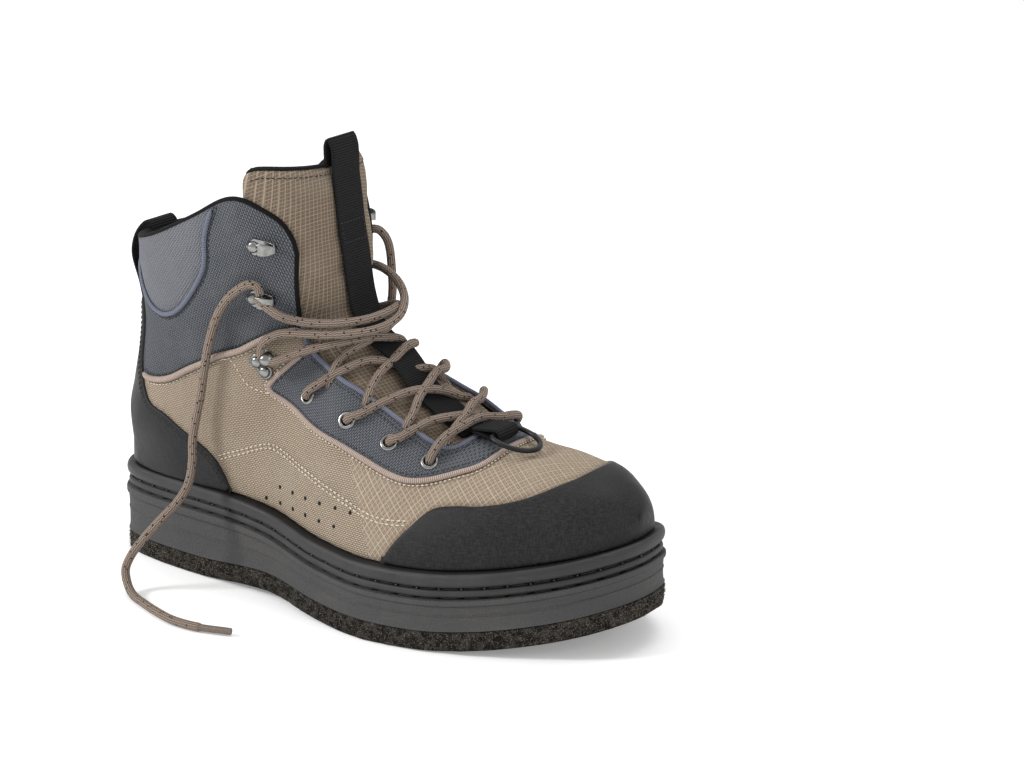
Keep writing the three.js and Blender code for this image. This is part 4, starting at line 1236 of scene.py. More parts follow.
@dataclass(frozen=True)
class Felt:
    """Needled felt: dark grey fibres with pale flecks."""

    name: str = "felt"
    colour: int = 0x35322F
    fleck: int = 0x736B60
    pit: int = 0x151412

    def build(self) -> bpy.types.Material:
        """The felt's material."""
        graph = Graph(self.name, 0.97, 0.1)
        place = graph.in_space()
        fibres = graph.noise(graph.in_space((620, 620, 1500)), 1.0, 4, 0.7)
        clumps = graph.noise(place, 260, 3, 0.6)
        base = graph.over(self.pit, self.colour, clumps, 0.42, 0.62)
        base = graph.over(base, self.fleck, graph.noise(place, 1500, 2, 0.6), 0.55, 0.68, 0.75)
        height = graph.math("ADD", fibres, graph.math("MULTIPLY", clumps, 1.6))
        return graph.done(base, graph.bump(height, 0.9))


@dataclass(frozen=True)
class Webbing:
    """Ribbed woven tape: ribs across, on its own cloth map."""

    name: str = "webbing"
    colour: int = 0x1F1F20
    deep: int = 0x070708
    fuzz: int = 0x3A3A3B
    pitch: float = 1.25

    def build(self) -> bpy.types.Material:
        """The tape's material."""
        graph = Graph(self.name, 0.8, 0.15)
        u, v, _ = graph.parts(graph.on_cloth())
        height = graph.math("MULTIPLY_ADD", graph.wave(v, 0.8), 0.3, graph.wave(u, self.pitch))
        base = graph.over(self.deep, self.colour, height, 0.1, 1.1)
        base = graph.over(base, self.fuzz, graph.noise(graph.in_space(), 1400), 0.5, 0.8, 0.2)
        return graph.done(base, graph.bump(height, 0.3))


@dataclass(frozen=True)
class Metal:
    """Satin plated metal with faint scratches and painted shade towards its outline."""

    name: str = "satin_metal"
    colour: int = 0x8F8F8D
    worn: int = 0x6E6D6B
    # Colour of the painted shade on faces turned away from the view.
    turned: int = 0x242423
    roughness: float = 0.25

    def build(self) -> bpy.types.Material:
        """The metal's material."""
        graph = Graph(self.name, self.roughness, metallic=1.0)
        wear = graph.noise(graph.in_space(), 420, 4)
        scratch = graph.noise(graph.in_space((300, 2600, 2600), 20), 1.0)
        graph.dress({"Roughness": graph.spread(wear, 0.3, 0.7, self.roughness - 0.08, self.roughness + 0.12)})
        base = graph.over(self.colour, self.worn, wear, 0.4, 0.75, 0.5)
        # Painted shade: darker where the faces turn away from the view, whatever the lamps do.
        painted_edge_shade = graph.add("ShaderNodeLayerWeight", {"Blend": 0.3}).outputs["Facing"]
        return graph.done(graph.over(base, self.turned, painted_edge_shade, 0.08, 0.6), graph.bump(scratch, 0.02))


@dataclass(frozen=True)
class Plastic:
    """Moulded black plastic with a soft shine."""

    name: str = "ring_plastic"
    colour: int = 0x101112
    pale: int = 0x1C1D1E

    def build(self) -> bpy.types.Material:
        """The plastic's material."""
        graph = Graph(self.name, 0.38, 0.25)
        place = graph.in_space()
        base = graph.blend(graph.noise(place, 160, 3), self.colour, self.pale)
        return graph.done(base, graph.bump(graph.noise(place, 1600, 3), 0.03))


@dataclass(frozen=True)
class Braid:
    """A round braided lace with dark flecks, on its own cloth map."""

    name: str = "lace"
    colour: int = 0x97887C
    deep: int = 0x574B42
    fleck: int = 0x1A1715
    pitch: float = 1.18

    def build(self) -> bpy.types.Material:
        """The lace's material."""
        graph = Graph(self.name, 0.86, 0.2)
        u, v, _ = graph.parts(graph.on_cloth())
        ridges = graph.wave(graph.math("MULTIPLY_ADD", graph.wave(u, 2 * self.pitch), 0.35, v), self.pitch)
        breaks = graph.math("MULTIPLY_ADD", graph.wave(u, self.pitch), 0.3, 0.7)
        height = graph.math("MULTIPLY", ridges, breaks)
        yarn = graph.noise(graph.in_space(), 1500)
        base = graph.over(self.deep, self.colour, height, 0.0, 0.8)
        base = graph.over(base, self.deep, yarn, 0.45, 0.75, 0.25)
        cell = {"Vector": graph.on_cloth((0.26, 0.22, 1)), "Scale": 1.0}
        dots = graph.add("ShaderNodeTexVoronoi", cell, voronoi_dimensions="2D").outputs["Distance"]
        base = graph.blend(graph.spread(dots, 0.09, 0.15, 1, 0), base, self.fleck)
        return graph.done(base, graph.bump(graph.math("MULTIPLY_ADD", yarn, 0.2, height), 0.3))


@dataclass(frozen=True)
class Thread:
    """Sewing thread, or another small plain thing with a twisted grain."""

    name: str
    colour: int
    roughness: float = 0.7
    shade: float = 0.55

    def build(self) -> bpy.types.Material:
        """The thread's material."""
        graph = Graph(self.name, self.roughness)
        twist = graph.noise(graph.in_space(), 1800, 1)
        full = tint(self.colour)
        base = graph.blend(graph.spread(twist, 0.35, 0.65), [self.shade * c for c in full[:3]] + [1], full)
        return graph.done(base, graph.bump(twist, 0.08))


class Finishes:
    """Every material of the boot, made once."""

    def __init__(self) -> None:
        """Builds the materials."""
        made = {
            "quarter": Cloth("tan_quarter", 0xB3A491, 0x675A4C, Weave.PEBBLE, 0.98, 0.26),
            "vamp": Cloth("tan_ripstop", 0xAC9C89, 0x7C6D5D, Weave.RIPSTOP, 0.8, 0.2, 38, grid=2.1),
            # The tongue's tan is darker than the vamp's: partly its own tone, partly painted shade from its place
            # between the eyestays.
            "tongue": Cloth("shaded_tongue_ripstop", 0x8C7C69, 0x62554A, Weave.RIPSTOP, 0.75, 0.2, 4, grid=1.9),
            "ankle": Cloth("grey_ankle", 0x6A6D72, 0x2C2E32, Weave.PEBBLE, 1.12, 0.34, 66, dust=0x7E7F82),
            "collar": Cloth("grey_collar", 0x83848A, 0x494B50, Weave.PEBBLE, 0.98, 0.28, 84, dust=0x88898C),
            "eyestay": Cloth("grey_eyestay", 0x6A6D72, 0x303237, Weave.PEBBLE, 1.0, 0.3, 118, dust=0x7B7C80),
            "lining": Cloth("lining", 0x1D1D1F, 0x08080A, Weave.KNIT, 1.3, 0.3, dust=0x2A2A2C),
            "footbed": Cloth("footbed_cloth", 0x2B2B2E, 0x0F0F11, Weave.KNIT, 0.9, 0.2, dust=0x3A3A3C),
            "binding": Cloth("binding", 0x161617, 0x070708, Weave.RIBBED, 0.9, 0.14, 90, dust=0x222224),
            "edging": Cloth("pinkish_edging", 0xB9A99E, 0x7D6B61, Weave.RIBBED, 1.0, 0.2, dust=0xB0A398),
            "blue_edging": Cloth("blue_edging", 0x7B8090, 0x4A4E5B, Weave.RIBBED, 0.9, 0.14, dust=0x74777F),
            "smooth": Overlay("smooth_overlay", 0x151516, 0x2C2C2D),
            "rand": Rubber("rand_rubber", 0x303031, 0x4A4948, 0.06, 0.5),
            "midsole": Rubber("midsole_rubber", 0x404041, 0x55534F, 0.34, 0.68),
            "felt": Felt(),
            "webbing": Webbing(),
            "metal": Metal(),
            # Near-black discs for the drain holes: painted shade standing in for the holes.
            "hole": Thread("painted_hole_shade", 0x050505, 0.95),
            "plastic": Plastic(),
            "lace": Braid(),
            "tip": Thread("lace_tip", 0x6E6156, 0.5),
            "cream": Thread("cream_thread", 0xDCD0BC),
            "dark": Thread("dark_thread", 0x151516),
            # Pale thread for the painted glints at the rand stitches' ends.
            "tick": Thread("pale_painted_glint", 0x777572, 0.7),
            "slate": Thread("slate_thread", 0x22242A),
            "pale_fibre": Thread("pale_fibre", 0x7E766A, 0.95),
        }
        for key, finish in made.items():
            setattr(self, key, finish.build())


class Bead(Enum):
    """The small solid that is set along a seam."""

    STITCH = "stitch"
    HOLE = "hole"
    FIBRE = "fibre"


@dataclass(frozen=True)
class SmallThings:
    """A Geometry Nodes tree that sets one small solid at each guide point."""

    bead: Bead
    size: Point
    jitter: float = 0.08
    seed: int = 5

    def tree(self) -> bpy.types.GeometryNodeTree:
        """Builds the tree."""
        tree = bpy.data.node_groups.new(f"set_{self.bead.value}", "GeometryNodeTree")
        for name, kind in (("Guide", "Geometry"), ("Size", "Vector"), ("Jitter", "Float"), ("Seed", "Int"),
                           ("Finish", "Material")):
            tree.interface.new_socket(name, in_out="INPUT", socket_type=f"NodeSocket{kind}")
        tree.interface.new_socket("Solid", in_out="OUTPUT", socket_type="NodeSocketGeometry")
        add = NodeTree(tree).add
        given = add("NodeGroupInput").outputs
        if self.bead is Bead.STITCH:
            solid = add("GeometryNodeMeshUVSphere", {"Segments": 8, "Rings": 6, "Radius": 0.5})
        else:
            sides = 12 if self.bead is Bead.HOLE else 4
            solid = add("GeometryNodeMeshCylinder", {"Vertices": sides, "Radius": 0.5, "Depth": 1.0})
        out, along = (add("GeometryNodeInputNamedAttribute", {"Name": name}, data_type="FLOAT_VECTOR")
                      for name in ("out", "along"))
        turn = add("FunctionNodeAxesToRotation", {0: out.outputs["Attribute"], 1: along.outputs["Attribute"]},
                   primary_axis="Z", secondary_axis="X")
        low, high = (add("ShaderNodeMath", {0: 1.0, 1: given["Jitter"]}, operation=operation)
                     for operation in ("SUBTRACT", "ADD"))
        chance = add("FunctionNodeRandomValue", {2: low.outputs[0], 3: high.outputs[0], "Seed": given["Seed"]},
                     data_type="FLOAT")
        sized = add("ShaderNodeVectorMath", {0: given["Size"], "Scale": chance.outputs[1]}, operation="SCALE")
        spread = add("GeometryNodeInstanceOnPoints", {
            "Points": given["Guide"], "Instance": solid.outputs["Mesh"], "Rotation": turn.outputs[0],
            "Scale": sized.outputs[0]})
        realize = add("GeometryNodeRealizeInstances", {0: spread.outputs[0]})
        finish = add("GeometryNodeSetMaterial", {"Geometry": realize.outputs[0], "Material": given["Finish"]})
        add("NodeGroupOutput", {0: finish.outputs[0]})
        return tree

    def set_along(self, name: str, points: Array, along: Array, out: Array,
                  finish: bpy.types.Material, slot: str) -> bpy.types.Object:
        """Sets the solids on guide points and keeps the result as one plain mesh.

        Args:
            name: The piece's name.
            points: The guide points in layout millimetres.
            along: The direction of each solid's length.
            out: The direction of each solid's height.
            finish: Its material.
            slot: Its material slot.

        Returns:
            The finished piece.
        """
        mesh = bpy.data.meshes.new(f"{name}_guide")
        mesh.vertices.add(len(points))
        mesh.vertices.foreach_set("co", to_frame(points).astype(np.float32).ravel())
        for key, directions in (("along", along), ("out", out)):
            attribute = mesh.attributes.new(key, "FLOAT_VECTOR", "POINT")
            attribute.data.foreach_set("vector", normalised(directions).astype(np.float32).ravel())
        guide = linked(bpy.data.objects.new(f"{name}_guide", mesh))
        modifier = guide.modifiers.new("small_things", "NODES")
        tree = self.tree()
        modifier.node_group = tree
        settings = {"Size": [s * MM for s in self.size], "Jitter": self.jitter, "Seed": self.seed,
                    "Finish": finish}
        for item in tree.interface.items_tree:
            if item.in_out == "INPUT" and item.name in settings:
                modifier[item.identifier] = settings[item.name]
        evaluated = guide.evaluated_get(bpy.context.evaluated_depsgraph_get())
        result = bpy.data.meshes.new_from_object(evaluated)
        result.name = name
        result.shade_smooth()
        piece = linked(bpy.data.objects.new(name, result))
        guide.modifiers.clear()
        bpy.data.objects.remove(guide)
        bpy.data.node_groups.remove(tree)
        if not piece.data.materials:
            piece.data.materials.append(finish)
        return settle(piece, slot)


class Seam(NamedTuple):
    """A line on the boot's surface with its outward directions."""

    points: Array
    outward: Array

    def lifted(self, height: float) -> Array:
        """The line's points raised off the form."""
        return self.points + self.outward * height

    def even(self, spacing: float) -> "Seam":
        """The line at an even spacing."""
        both = resampled(np.hstack([self.points, self.outward * 1e-4]), spacing)
        return Seam(both[:, :3], normalised(both[:, 3:]))

    def smoothed(self, rounds: int = 6) -> "Seam":
        """The line with its small wiggles taken out."""
        points = self.points.copy()
        for _ in range(rounds):
            points[1:-1] = (points[:-2] + 2 * points[1:-1] + points[2:]) / 4
        return Seam(points, self.outward)


def rims(patch: Patch) -> list[Array]:
    """The patch's open edges as closed loops of point numbers."""
    count = len(patch.points)
    open_runs = open_edges(patch)
    following = dict(zip(open_runs[:, 0].tolist(), open_runs[:, 1].tolist()))
    loops = []
    while following:
        start, at = following.popitem()
        loop = [start]
        while at != start and at in following:
            loop.append(at)
            at = following.pop(at)
        loops.append(np.array(loop))
    return loops


def seams(patch: Patch, measure: Measure, level: float, within: Measure | None = None,
          shortest: float = 12.0) -> list[Seam]:
    """The lines on a patch where a measure has a level.

    Args:
        patch: The surface.
        measure: Gives a number for each point.
        level: The number along the line.
        within: Where this is below 0 the line is left out.
        shortest: Lines shorter than this, in millimetres, are dropped.

    Returns:
        The lines, each from one end to the other.
    """
    edge = patch.trimmed(measure, level)
    found = []
    for loop in rims(edge):
        points, outward = edge.points[loop], edge.outward[loop]
        on = np.abs(measure(points) - level) < 0.22
        if within is not None:
            on &= within(points) > 0
        if on.all():
            found.append(Seam(np.vstack([points, points[:1]]), np.vstack([outward, outward[:1]])))
            continue
        first = int(np.argmin(on))
        points, outward, on = np.roll(points, -first, 0), np.roll(outward, -first, 0), np.roll(on, -first)
        flips = np.flatnonzero(np.diff(np.concatenate([[0], on.astype(int), [0]])))
        for a, b in zip(flips[::2], flips[1::2]):
            if b - a > 3 and np.linalg.norm(np.diff(points[a:b], axis=0), axis=1).sum() > shortest:
                found.append(Seam(points[a:b], outward[a:b]))
    return found


def sew(name: str, lines: Sequence[Seam], lift: float, spacing: float, size: Point,
        finish: bpy.types.Material, slot: str) -> bpy.types.Object:
    """Stitches along seams.

    Args:
        name: The piece's name.
        lines: The seams.
        lift: Height of the thread's middle above the form.
        spacing: From stitch to stitch.
        size: Length, width and height of a stitch.
        finish: The thread.
        slot: Its material slot.

    Returns:
        The stitches as one piece.
    """
    points, along, out = [], [], []
    for line in lines:
        even = line.smoothed().even(spacing)
        points.append(even.lifted(lift)[:-1] / 2 + even.lifted(lift)[1:] / 2)
        along.append(np.diff(even.points, axis=0))
        out.append(even.outward[:-1])
    return SmallThings(Bead.STITCH, size).set_along(
        name, np.vstack(points), np.vstack(along), np.vstack(out), finish, slot)


def pipe(name: str, lines: Sequence[Seam], lift: float, width: float, height: float,
         finish: bpy.types.Material, slot: str, *nodes: str) -> bpy.types.Object:
    """Piping along seams.

    Args:
        name: The piece's name.
        lines: The seams.
        lift: Height of the piping's middle above the form.
        width: Its width.
        height: Its height.
        finish: Its material.
        slot: Its material slot.
        nodes: The CAD nodes that it stands for.

    Returns:
        The piping as one piece.
    """
    parts, cloth = [], []
    for line in lines:
        even = line.smoothed(8).even(1.6)
        count = len(even.points)
        ends = np.minimum(np.arange(count), np.arange(count)[::-1])
        points, faces, uv = sweep(even.lifted(lift), ring_section(width, height, 10), even.outward,
                                  scale=0.35 + 0.65 * np.clip(ends / 2, 0, 1) ** 0.5)
        parts.append((points, faces))
        cloth.append(uv)
    points, faces = merged(*parts)
    piece = build_object(name, points, faces, [finish], cloth=np.vstack(cloth),
                         values={"seam": np.full(len(points), SEAMLESS)})
    return settle(piece, slot, *nodes)


def shaft_cloth(points: Array) -> Array:
    """The cloth's place on the shaft and quarters, unrolled round the heel."""
    x, y, z = points.T
    middle, radius = 62.0, 42.0
    turn = np.arctan2(np.maximum(middle - x, 0), np.abs(y - FORM.shaft_middle) + 1e-3)
    return np.stack([np.where(x > middle, x, middle - radius * turn), z], -1)


def vamp_cloth(points: Array) -> Array:
    """The cloth's place on the vamp, unrolled from its ridge."""
    x, y, z = points.T
    low = FORM.feather(np.clip(x / SOLE_LENGTH, 0, 1)) - 8
    return np.stack([x, 50.0 * np.arctan2(y - 4, z - low)], -1)


@dataclass
class Sole:
    """Felt, rubber midsole, stitched rand and footbed."""

    finishes: Finishes
    stations: int = 130
    welt_inset: float = 11.9
    felt_rough: float = 0.35
    stitch_length: float = 9.5
    fibre_count: int = 2600

    def loop(self, inset: float, height: Measure) -> Array:
        """The outline drawn in by an inset, at a height.

        Args:
            inset: How far it is drawn in.
            height: Gives the height at a share of the length.

        Returns:
            The loop's points.
        """
        shares = (1 - np.cos(np.pi * np.arange(self.stations + 1) / self.stations)) / 2
        x = inset + shares * (SOLE_LENGTH - 2 * inset)
        z = height(x / SOLE_LENGTH)
        lateral = np.stack([x, -FORM.half_width(Side.LATERAL, shares, inset), z], -1)
        medial = np.stack([x, FORM.half_width(Side.MEDIAL, shares, inset), z], -1)
        return np.vstack([lateral, medial[1:-1][::-1]])

    def stack(self, loops: Sequence[Array], ring: bool = False) -> tuple[Array, Array]:
        """A closed solid through loops.

        Args:
            loops: Loops of equal length.
            ring: Whether the last loop joins the first; otherwise both are capped.

        Returns:
            Points and triangles.
        """
        size, rows = 2 * self.stations, len(loops)
        a, b, c, d = grid_quads(rows, size, ring)
        faces = [split_quads(a, d, c, b)]
        if not ring:
            k = np.arange(self.stations)
            for base in (0, (rows - 1) * size):
                caps = split_quads(base + k, base + k + 1, base + size - k - 1, base + (size - k) % size)
                caps = caps[(caps != np.roll(caps, 1, 1)).all(1)]
                faces.append(caps if base else caps[:, ::-1])
        points = np.vstack(loops)
        return points, outward_faces(points, np.vstack(faces))

    def build_felt(self) -> None:
        """The felt with its rough side and the fibres at its edges."""
        random = np.random.default_rng(11)
        loops = [self.loop(1.8, FORM.ground)]
        rows = (0.05, 0.14, 0.27, 0.4, 0.53, 0.66, 0.79, 0.91, 1.0)
        for share in rows:
            loop = self.loop(0.7, lambda s, t=share: FORM.ground(s) + t * (FORM.felt_top(s) - FORM.ground(s)))
            centre = loop.mean(0)
            away = normalised((loop - centre) * [1, 1, 0])
            rough = random.normal(0, self.felt_rough, len(loop))
            rough = (rough + np.roll(rough, 1) + np.roll(rough, -1)) / 2
            loops.append(loop + away * np.clip(rough, -0.7, 0.6)[:, None])
        loops.append(self.loop(2.2, lambda s: FORM.felt_top(s) + 0.2))
        points, faces = self.stack(loops)
        settle(build_object("felt_sole", points, faces, [self.finishes.felt], sharp=60), "felt", "outsole_felt")
        picks = random.integers(0, 2 * self.stations, self.fibre_count)
        level = 1 + (random.random(self.fibre_count) ** 0.6 * (len(rows) - 1)).astype(int)
        grid = np.array(loops)
        roots = grid[level, picks] + (grid[level, (picks + 1) % (2 * self.stations)] - grid[level, picks]) * (
            random.random(self.fibre_count)[:, None])
        away = normalised((roots - [SOLE_LENGTH / 2, 0, 0]) * [0.35, 1, 0])
        lean = normalised(away * 0.7 + random.normal(0, 0.7, (self.fibre_count, 3)))
        roots[:, 2] = np.maximum(roots[:, 2], 1.2)
        SmallThings(Bead.FIBRE, (0.09, 0.09, 1.7), 0.5).set_along(
            "felt_fibres", roots + away * 0.15, np.cross(lean, [0, 0, 1.0]) + 1e-3, lean,
            self.finishes.pale_fibre, "felt")

    def build_midsole(self) -> None:
        """The rubber wall with a parting line and a crisp lip at its top."""
        section = ((2.0, 0.0), (0.4, 0.01), (0.6, 0.04), (1.0, 0.09), (1.15, 0.2), (1.2, 0.34), (1.2, 0.475),
                   (0.9, 0.49), (0.9, 0.51), (1.2, 0.525), (1.15, 0.64), (1.0, 0.74), (0.95, 0.8), (0.3, 0.83),
                   (0.05, 0.85), (0.0, 0.88), (0.0, 0.96), (0.25, 0.99), (1.0, 1.0))
        # Seam value of each row, which the rubber turns into painted shade and dirt: 0 at the lower edge is darkest,
        # 0.3 under the top lip.
        hollow_shade = (0, 1, 3, 3, 3, 3, 3, 1, 1, 3, 3, 3, 0.3, 1, 3, 3, 3, 3, 2)
        loops = [self.loop(inset, lambda s, t=up: FORM.felt_top(s) + 0.3 + t * (
            FORM.midsole_top(s) - FORM.felt_top(s) - 0.3)) for inset, up in section]
        points, faces = self.stack(loops)
        piece = build_object("midsole_wall", points, faces, [self.finishes.midsole], sharp=50,
                             values={"seam": np.repeat(hollow_shade, 2 * self.stations)})
        settle(piece, "rubber", "midsole")

    def rand_section(self) -> list[tuple[float, float, float]]:
        """Inset, share of the rand's height and hollow shade for each row, 0 for the darkest painted shade: two
        beads and the groove.
        """
        rows = []
        for middle, half, crest, edge in ((0.2, 0.15, 1.3, 2.9), (0.71, 0.27, 0.5, 3.1)):
            for turn in np.linspace(-90, 90, 11):
                bulge = math.cos(math.radians(turn))
                rows.append((edge + (crest - edge) * bulge**0.75, middle + half * math.sin(math.radians(turn)),
                             3.0 * bulge))
            rows.append((3.7, 0.39, 0.0) if middle < 0.5 else (4.2, 0.99, 0.0))
        return [(3.6, 0.03, 0.0), *rows]

    def build_rand(self) -> None:
        """The rand's beads, its groove, the long stitches in it and the painted glints at their ends."""
        section = [*self.rand_section(), (self.welt_inset, 1.0, 0.0), (self.welt_inset, 0.0, 0.0)]
        height = FORM.rand_height
        loops = [self.loop(inset, lambda s, t=up: FORM.midsole_top(s) + 0.3 + t * height)
                 for inset, up, _ in section]
        points, faces = self.stack(loops, ring=True)
        # Painted shade with dirt: these values darken the groove and the beads' edges.
        values = np.repeat([hollow_shade for _, _, hollow_shade in section], 2 * self.stations)
        settle(build_object("rand", points, faces, [self.finishes.rand], sharp=50, values={"seam": values}),
               "rubber", "welt")
        made, long = self.finishes, self.stitch_length
        # The pale ticks at each stitch's end are painted glints on the groove's thread.
        for name, inset, up, size, finish in (
                ("rand_stitches", 2.9, 0.39, (long, 1.0, 1.0), made.dark),
                ("rand_painted_glints", 2.6, 0.39, (0.9, 0.6, 1.1), made.tick),
                ("lip_stitches", 2.3, 0.02, (long, 0.9, 0.8), made.dark)):
            loop = self.loop(inset, lambda s, t=up: FORM.midsole_top(s) + 0.3 + t * height)
            even = resampled(np.vstack([loop, loop[:1]]), long + 2.0)
            if name == "rand_painted_glints":
                middle, along = even[:-1], np.roll(even, -1, 0)[:-1] - even[:-1]
            else:
                middle, along = (even[:-1] + even[1:]) / 2, np.diff(even, axis=0)
            out = np.cross(along, [0, 0, 1.0])
            SmallThings(Bead.STITCH, size, 0.04).set_along(name, middle, along, out, finish, "rubber")

    def build_insole(self) -> None:
        """The footbed with rounded edges."""
        inset = self.welt_inset + 0.5
        base = lambda s: FORM.midsole_top(s) + 0.3
        rows = ((0.8, 0.0), (0.0, 0.8), (0.0, 6.4), (0.5, 7.4), (1.6, 8.0), (9.0, 7.6))
        loops = [self.loop(inset + draw, lambda s, t=up: base(s) + t) for draw, up in rows]
        points, faces = self.stack(loops)
        piece = build_object("footbed", points, faces, [self.finishes.footbed], cloth=points[faces][..., :2],
                             values={"seam": np.full(len(points), SEAMLESS)})
        settle(piece, "footbed", "insole")

    def build(self) -> None:
        """Builds the whole sole."""
        self.build_felt()
        self.build_midsole()
        self.build_rand()
        self.build_insole()


class Place(NamedTuple):
    """A place on the upper for a piece of hardware."""

    point: Array
    outward: Array
    side: Side

    @classmethod
    def at(cls, row: SideRow, side: Side) -> "Place":
        """The place behind a side view point."""
        point = FORM.on_side(np.array([[row.along * SOLE_LENGTH, row.up * row.of]]), side)
        return cls(point[0], FORM.outward(point)[0], side)

    def seat(self, points: Array, lift: float) -> Array:
        """Points made round the origin, set on the place with z outwards, x ahead and y up.

        Args:
            points: Points round the origin.
            lift: How far they are raised off the form.

        Returns:
            The seated points.
        """
        along = normalised(np.array([1.0, 0, 0]) - self.outward * self.outward[0])
        across = np.cross(self.outward, along) * -self.side.value
        basis = np.stack([along, across, self.outward])
        return points @ basis + self.point + self.outward * lift


EYELET_ROWS = side_rows(INSTEP_HEIGHT, (0.43, 0.88), (0.5157, 0.823), (0.5912, 0.757), (0.6604, 0.7))
HOOK_ROWS = side_rows(COLLAR_HEIGHT, (0.3616, 0.88), (0.3553, 0.75))
LOCKING_ROW = SideRow(0.35, COLLAR_HEIGHT, 0.586)
HOLE_RADIUS = 3.3
EYELETS = [[Place.at(row, side) for row in EYELET_ROWS] for side in Side]


def beyond_eyelets(points: Array) -> Array:
    """How far each point lies outside the eyelets' holes."""
    gaps = [np.linalg.norm(np.cross(points - place.point, place.outward), axis=1)
            + 99.0 * (np.abs((points - place.point) @ place.outward) > 12) for side in EYELETS for place in side]
    return np.min(gaps, axis=0) - HOLE_RADIUS


def beside_overlays(points: Array, counter: float, eyestay: float) -> Array:
    """How far each point lies outside margins round the heel counter and the eyestay."""
    return np.minimum(-COUNTER(points) - counter, -EYESTAY(points) - eyestay)


class Crease(NamedTuple):
    """A soft trough or ridge along a side view line."""

    line: tuple[tuple[float, float], ...]
    depth: float
    width: float


@dataclass
class Upper:
    """The hollow upper, its overlays, pipings, seams and small holes."""

    finishes: Finishes
    grid: Patch
    wall: float = 2.4
    fit: float = 0.3
    overlay: float = 1.3
    binding: float = 1.9
    padding: float = 4.4
    border_top: float = 128.5
    vamp_from: float = 178.0
    vamp_slant: float = 0.55
    vamp_level: float = 70.0
    creases: tuple[Crease, ...] = (
        Crease(((100, 150), (112, 144), (124, 133), (131, 122)), 0.9, 7),
        Crease(((62, 128), (80, 131), (98, 139), (108, 150)), 0.8, 8),
        Crease(((48, 108), (62, 116), (78, 119)), 0.6, 7),
        Crease(((96, 172), (112, 168), (126, 170)), 0.5, 7),
        Crease(((150, 90), (160, 76), (166, 60)), 0.7, 11),
        Crease(((196, 76), (208, 68), (214, 60)), 0.8, 8),
        Crease(((232, 76), (244, 80), (250, 84)), 0.5, 8),
        Crease(((96, 96), (112, 84), (128, 78)), 0.6, 10),
    )

    def relief(self, points: Array) -> Array:
        """The creases' height at each point.

        Args:
            points: Points on the form.

        Returns:
            The height at each.
        """
        out = np.zeros(len(points))
        for crease in self.creases:
            gap = np.abs(SideLine(spline(crease.line, 6))(points))
            out -= crease.depth * np.exp(-((gap / crease.width) ** 2))
        return out

    def free(self, points: Array) -> Array:
        """How free the cloth is of overlays and edges, from 0 to 1."""
        near = np.minimum.reduce([-EYESTAY(points), -TOE_CAP(points), -COUNTER(points), upper_edge(points)])
        return soft_step(near, 1.0, 9.0)

    def seam_gap(self, points: Array) -> Array:
        """Distance to the nearest seam or edge."""
        lines = (COLLAR_PAD, ANKLE, EYESTAY, TOE_CAP, COUNTER)
        near = [np.abs(line(points)) for line in lines] + [np.maximum(upper_edge(points), 0)]
        return np.clip(np.min(near, axis=0), 0, 12)

    def build_shell(self) -> None:
        """The hollow shell with its cloth panels, bound collar and lining."""
        patch = self.grid.trimmed(upper_edge).trimmed(beyond_eyelets)
        patch = patch.cut(upper_edge, (0.4, 1.0)).cut(bound_depth, (self.binding, self.binding + 0.5))
        patch = patch.cut(ANKLE).cut(COLLAR_PAD)
        points = patch.points
        collar, bound = collar_depth(points), bound_depth(points)
        edge = upper_edge(points)
        pad_zone = soft_step(ANKLE(points), 2, 14) * soft_step(collar, 4, 16)
        raised = 0.75 * pad_zone * soft_step(np.abs(COLLAR_PAD(points)), 0.5, 6)
        outer = self.free(points) * (raised + self.relief(points)) + 0.35 * (
            soft_step(-bound, -self.binding - 0.5, -self.binding) - soft_step(-bound, -0.8, 0))
        outer -= 1.1 * (1 - rounded(edge, 1.0))
        back = soft_step(98 - points[:, 0], 0, 26) * soft_step(collar, 62, 30)
        inner = -self.wall - self.padding * back * rounded(collar, 9.0) + 0.9 * (1 - rounded(edge, 1.0))
        points, faces = wall_of(patch, outer, inner)
        middle = patch.middle()
        above_ankle, above_pad = ANKLE(middle) > 0, COLLAR_PAD(middle) < 0
        split = self.vamp_from + self.vamp_slant * (self.vamp_level - middle[:, 2])
        zone = np.where(above_ankle, np.where(above_pad, 2, 1), np.where(middle[:, 0] > split, 3, 0))
        zone = np.where(bound_depth(middle) < self.binding, 4, zone)
        count = len(patch.faces)
        zones = np.concatenate([zone, np.full(count, 5), np.full(len(faces) - 2 * count, 4)])
        corners = on_both(patch.points)[faces].reshape(-1, 3)
        vamp = np.repeat(zones == 3, 3)[:, None]
        made = self.finishes
        piece = build_object(
            "upper_shell", points, faces,
            [made.quarter, made.ankle, made.collar, made.vamp, made.binding, made.lining], zone=zones,
            cloth=np.where(vamp, vamp_cloth(corners), shaft_cloth(corners)),
            values={"seam": on_both(self.seam_gap(patch.points))})
        settle(piece, "canvas", "upper")

    def build_overlay(self, name: str, outline: SideLine, finish: bpy.types.Material, slot: str, node: str,
                      holes: bool = False) -> None:
        """One overlay, its edges rounded.

        Args:
            name: The piece's name.
            outline: Its outline in the side view.
            finish: Its material.
            slot: Its material slot.
            node: The CAD node that it stands for.
            holes: Whether the eyelets' holes go through it.
        """
        inside = lambda p: np.minimum(outline(p), upper_edge(p))
        patch = self.grid.trimmed(inside)
        if holes:
            patch = patch.trimmed(beyond_eyelets)
        patch = patch.cut(inside, (0.3, 0.8, 1.5))
        depth = inside(patch.points)
        swell = 0.15 * soft_step(depth, 2, 12)
        outer = self.fit + self.overlay * (0.3 + 0.7 * rounded(depth, 1.5)) + swell
        points, faces = wall_of(patch, outer, self.fit - 0.25)
        corners = on_both(patch.points)[faces].reshape(-1, 3)
        piece = build_object(name, points, faces, [finish], cloth=shaft_cloth(corners),
                             values={"seam": on_both(depth)})
        settle(piece, slot, node)

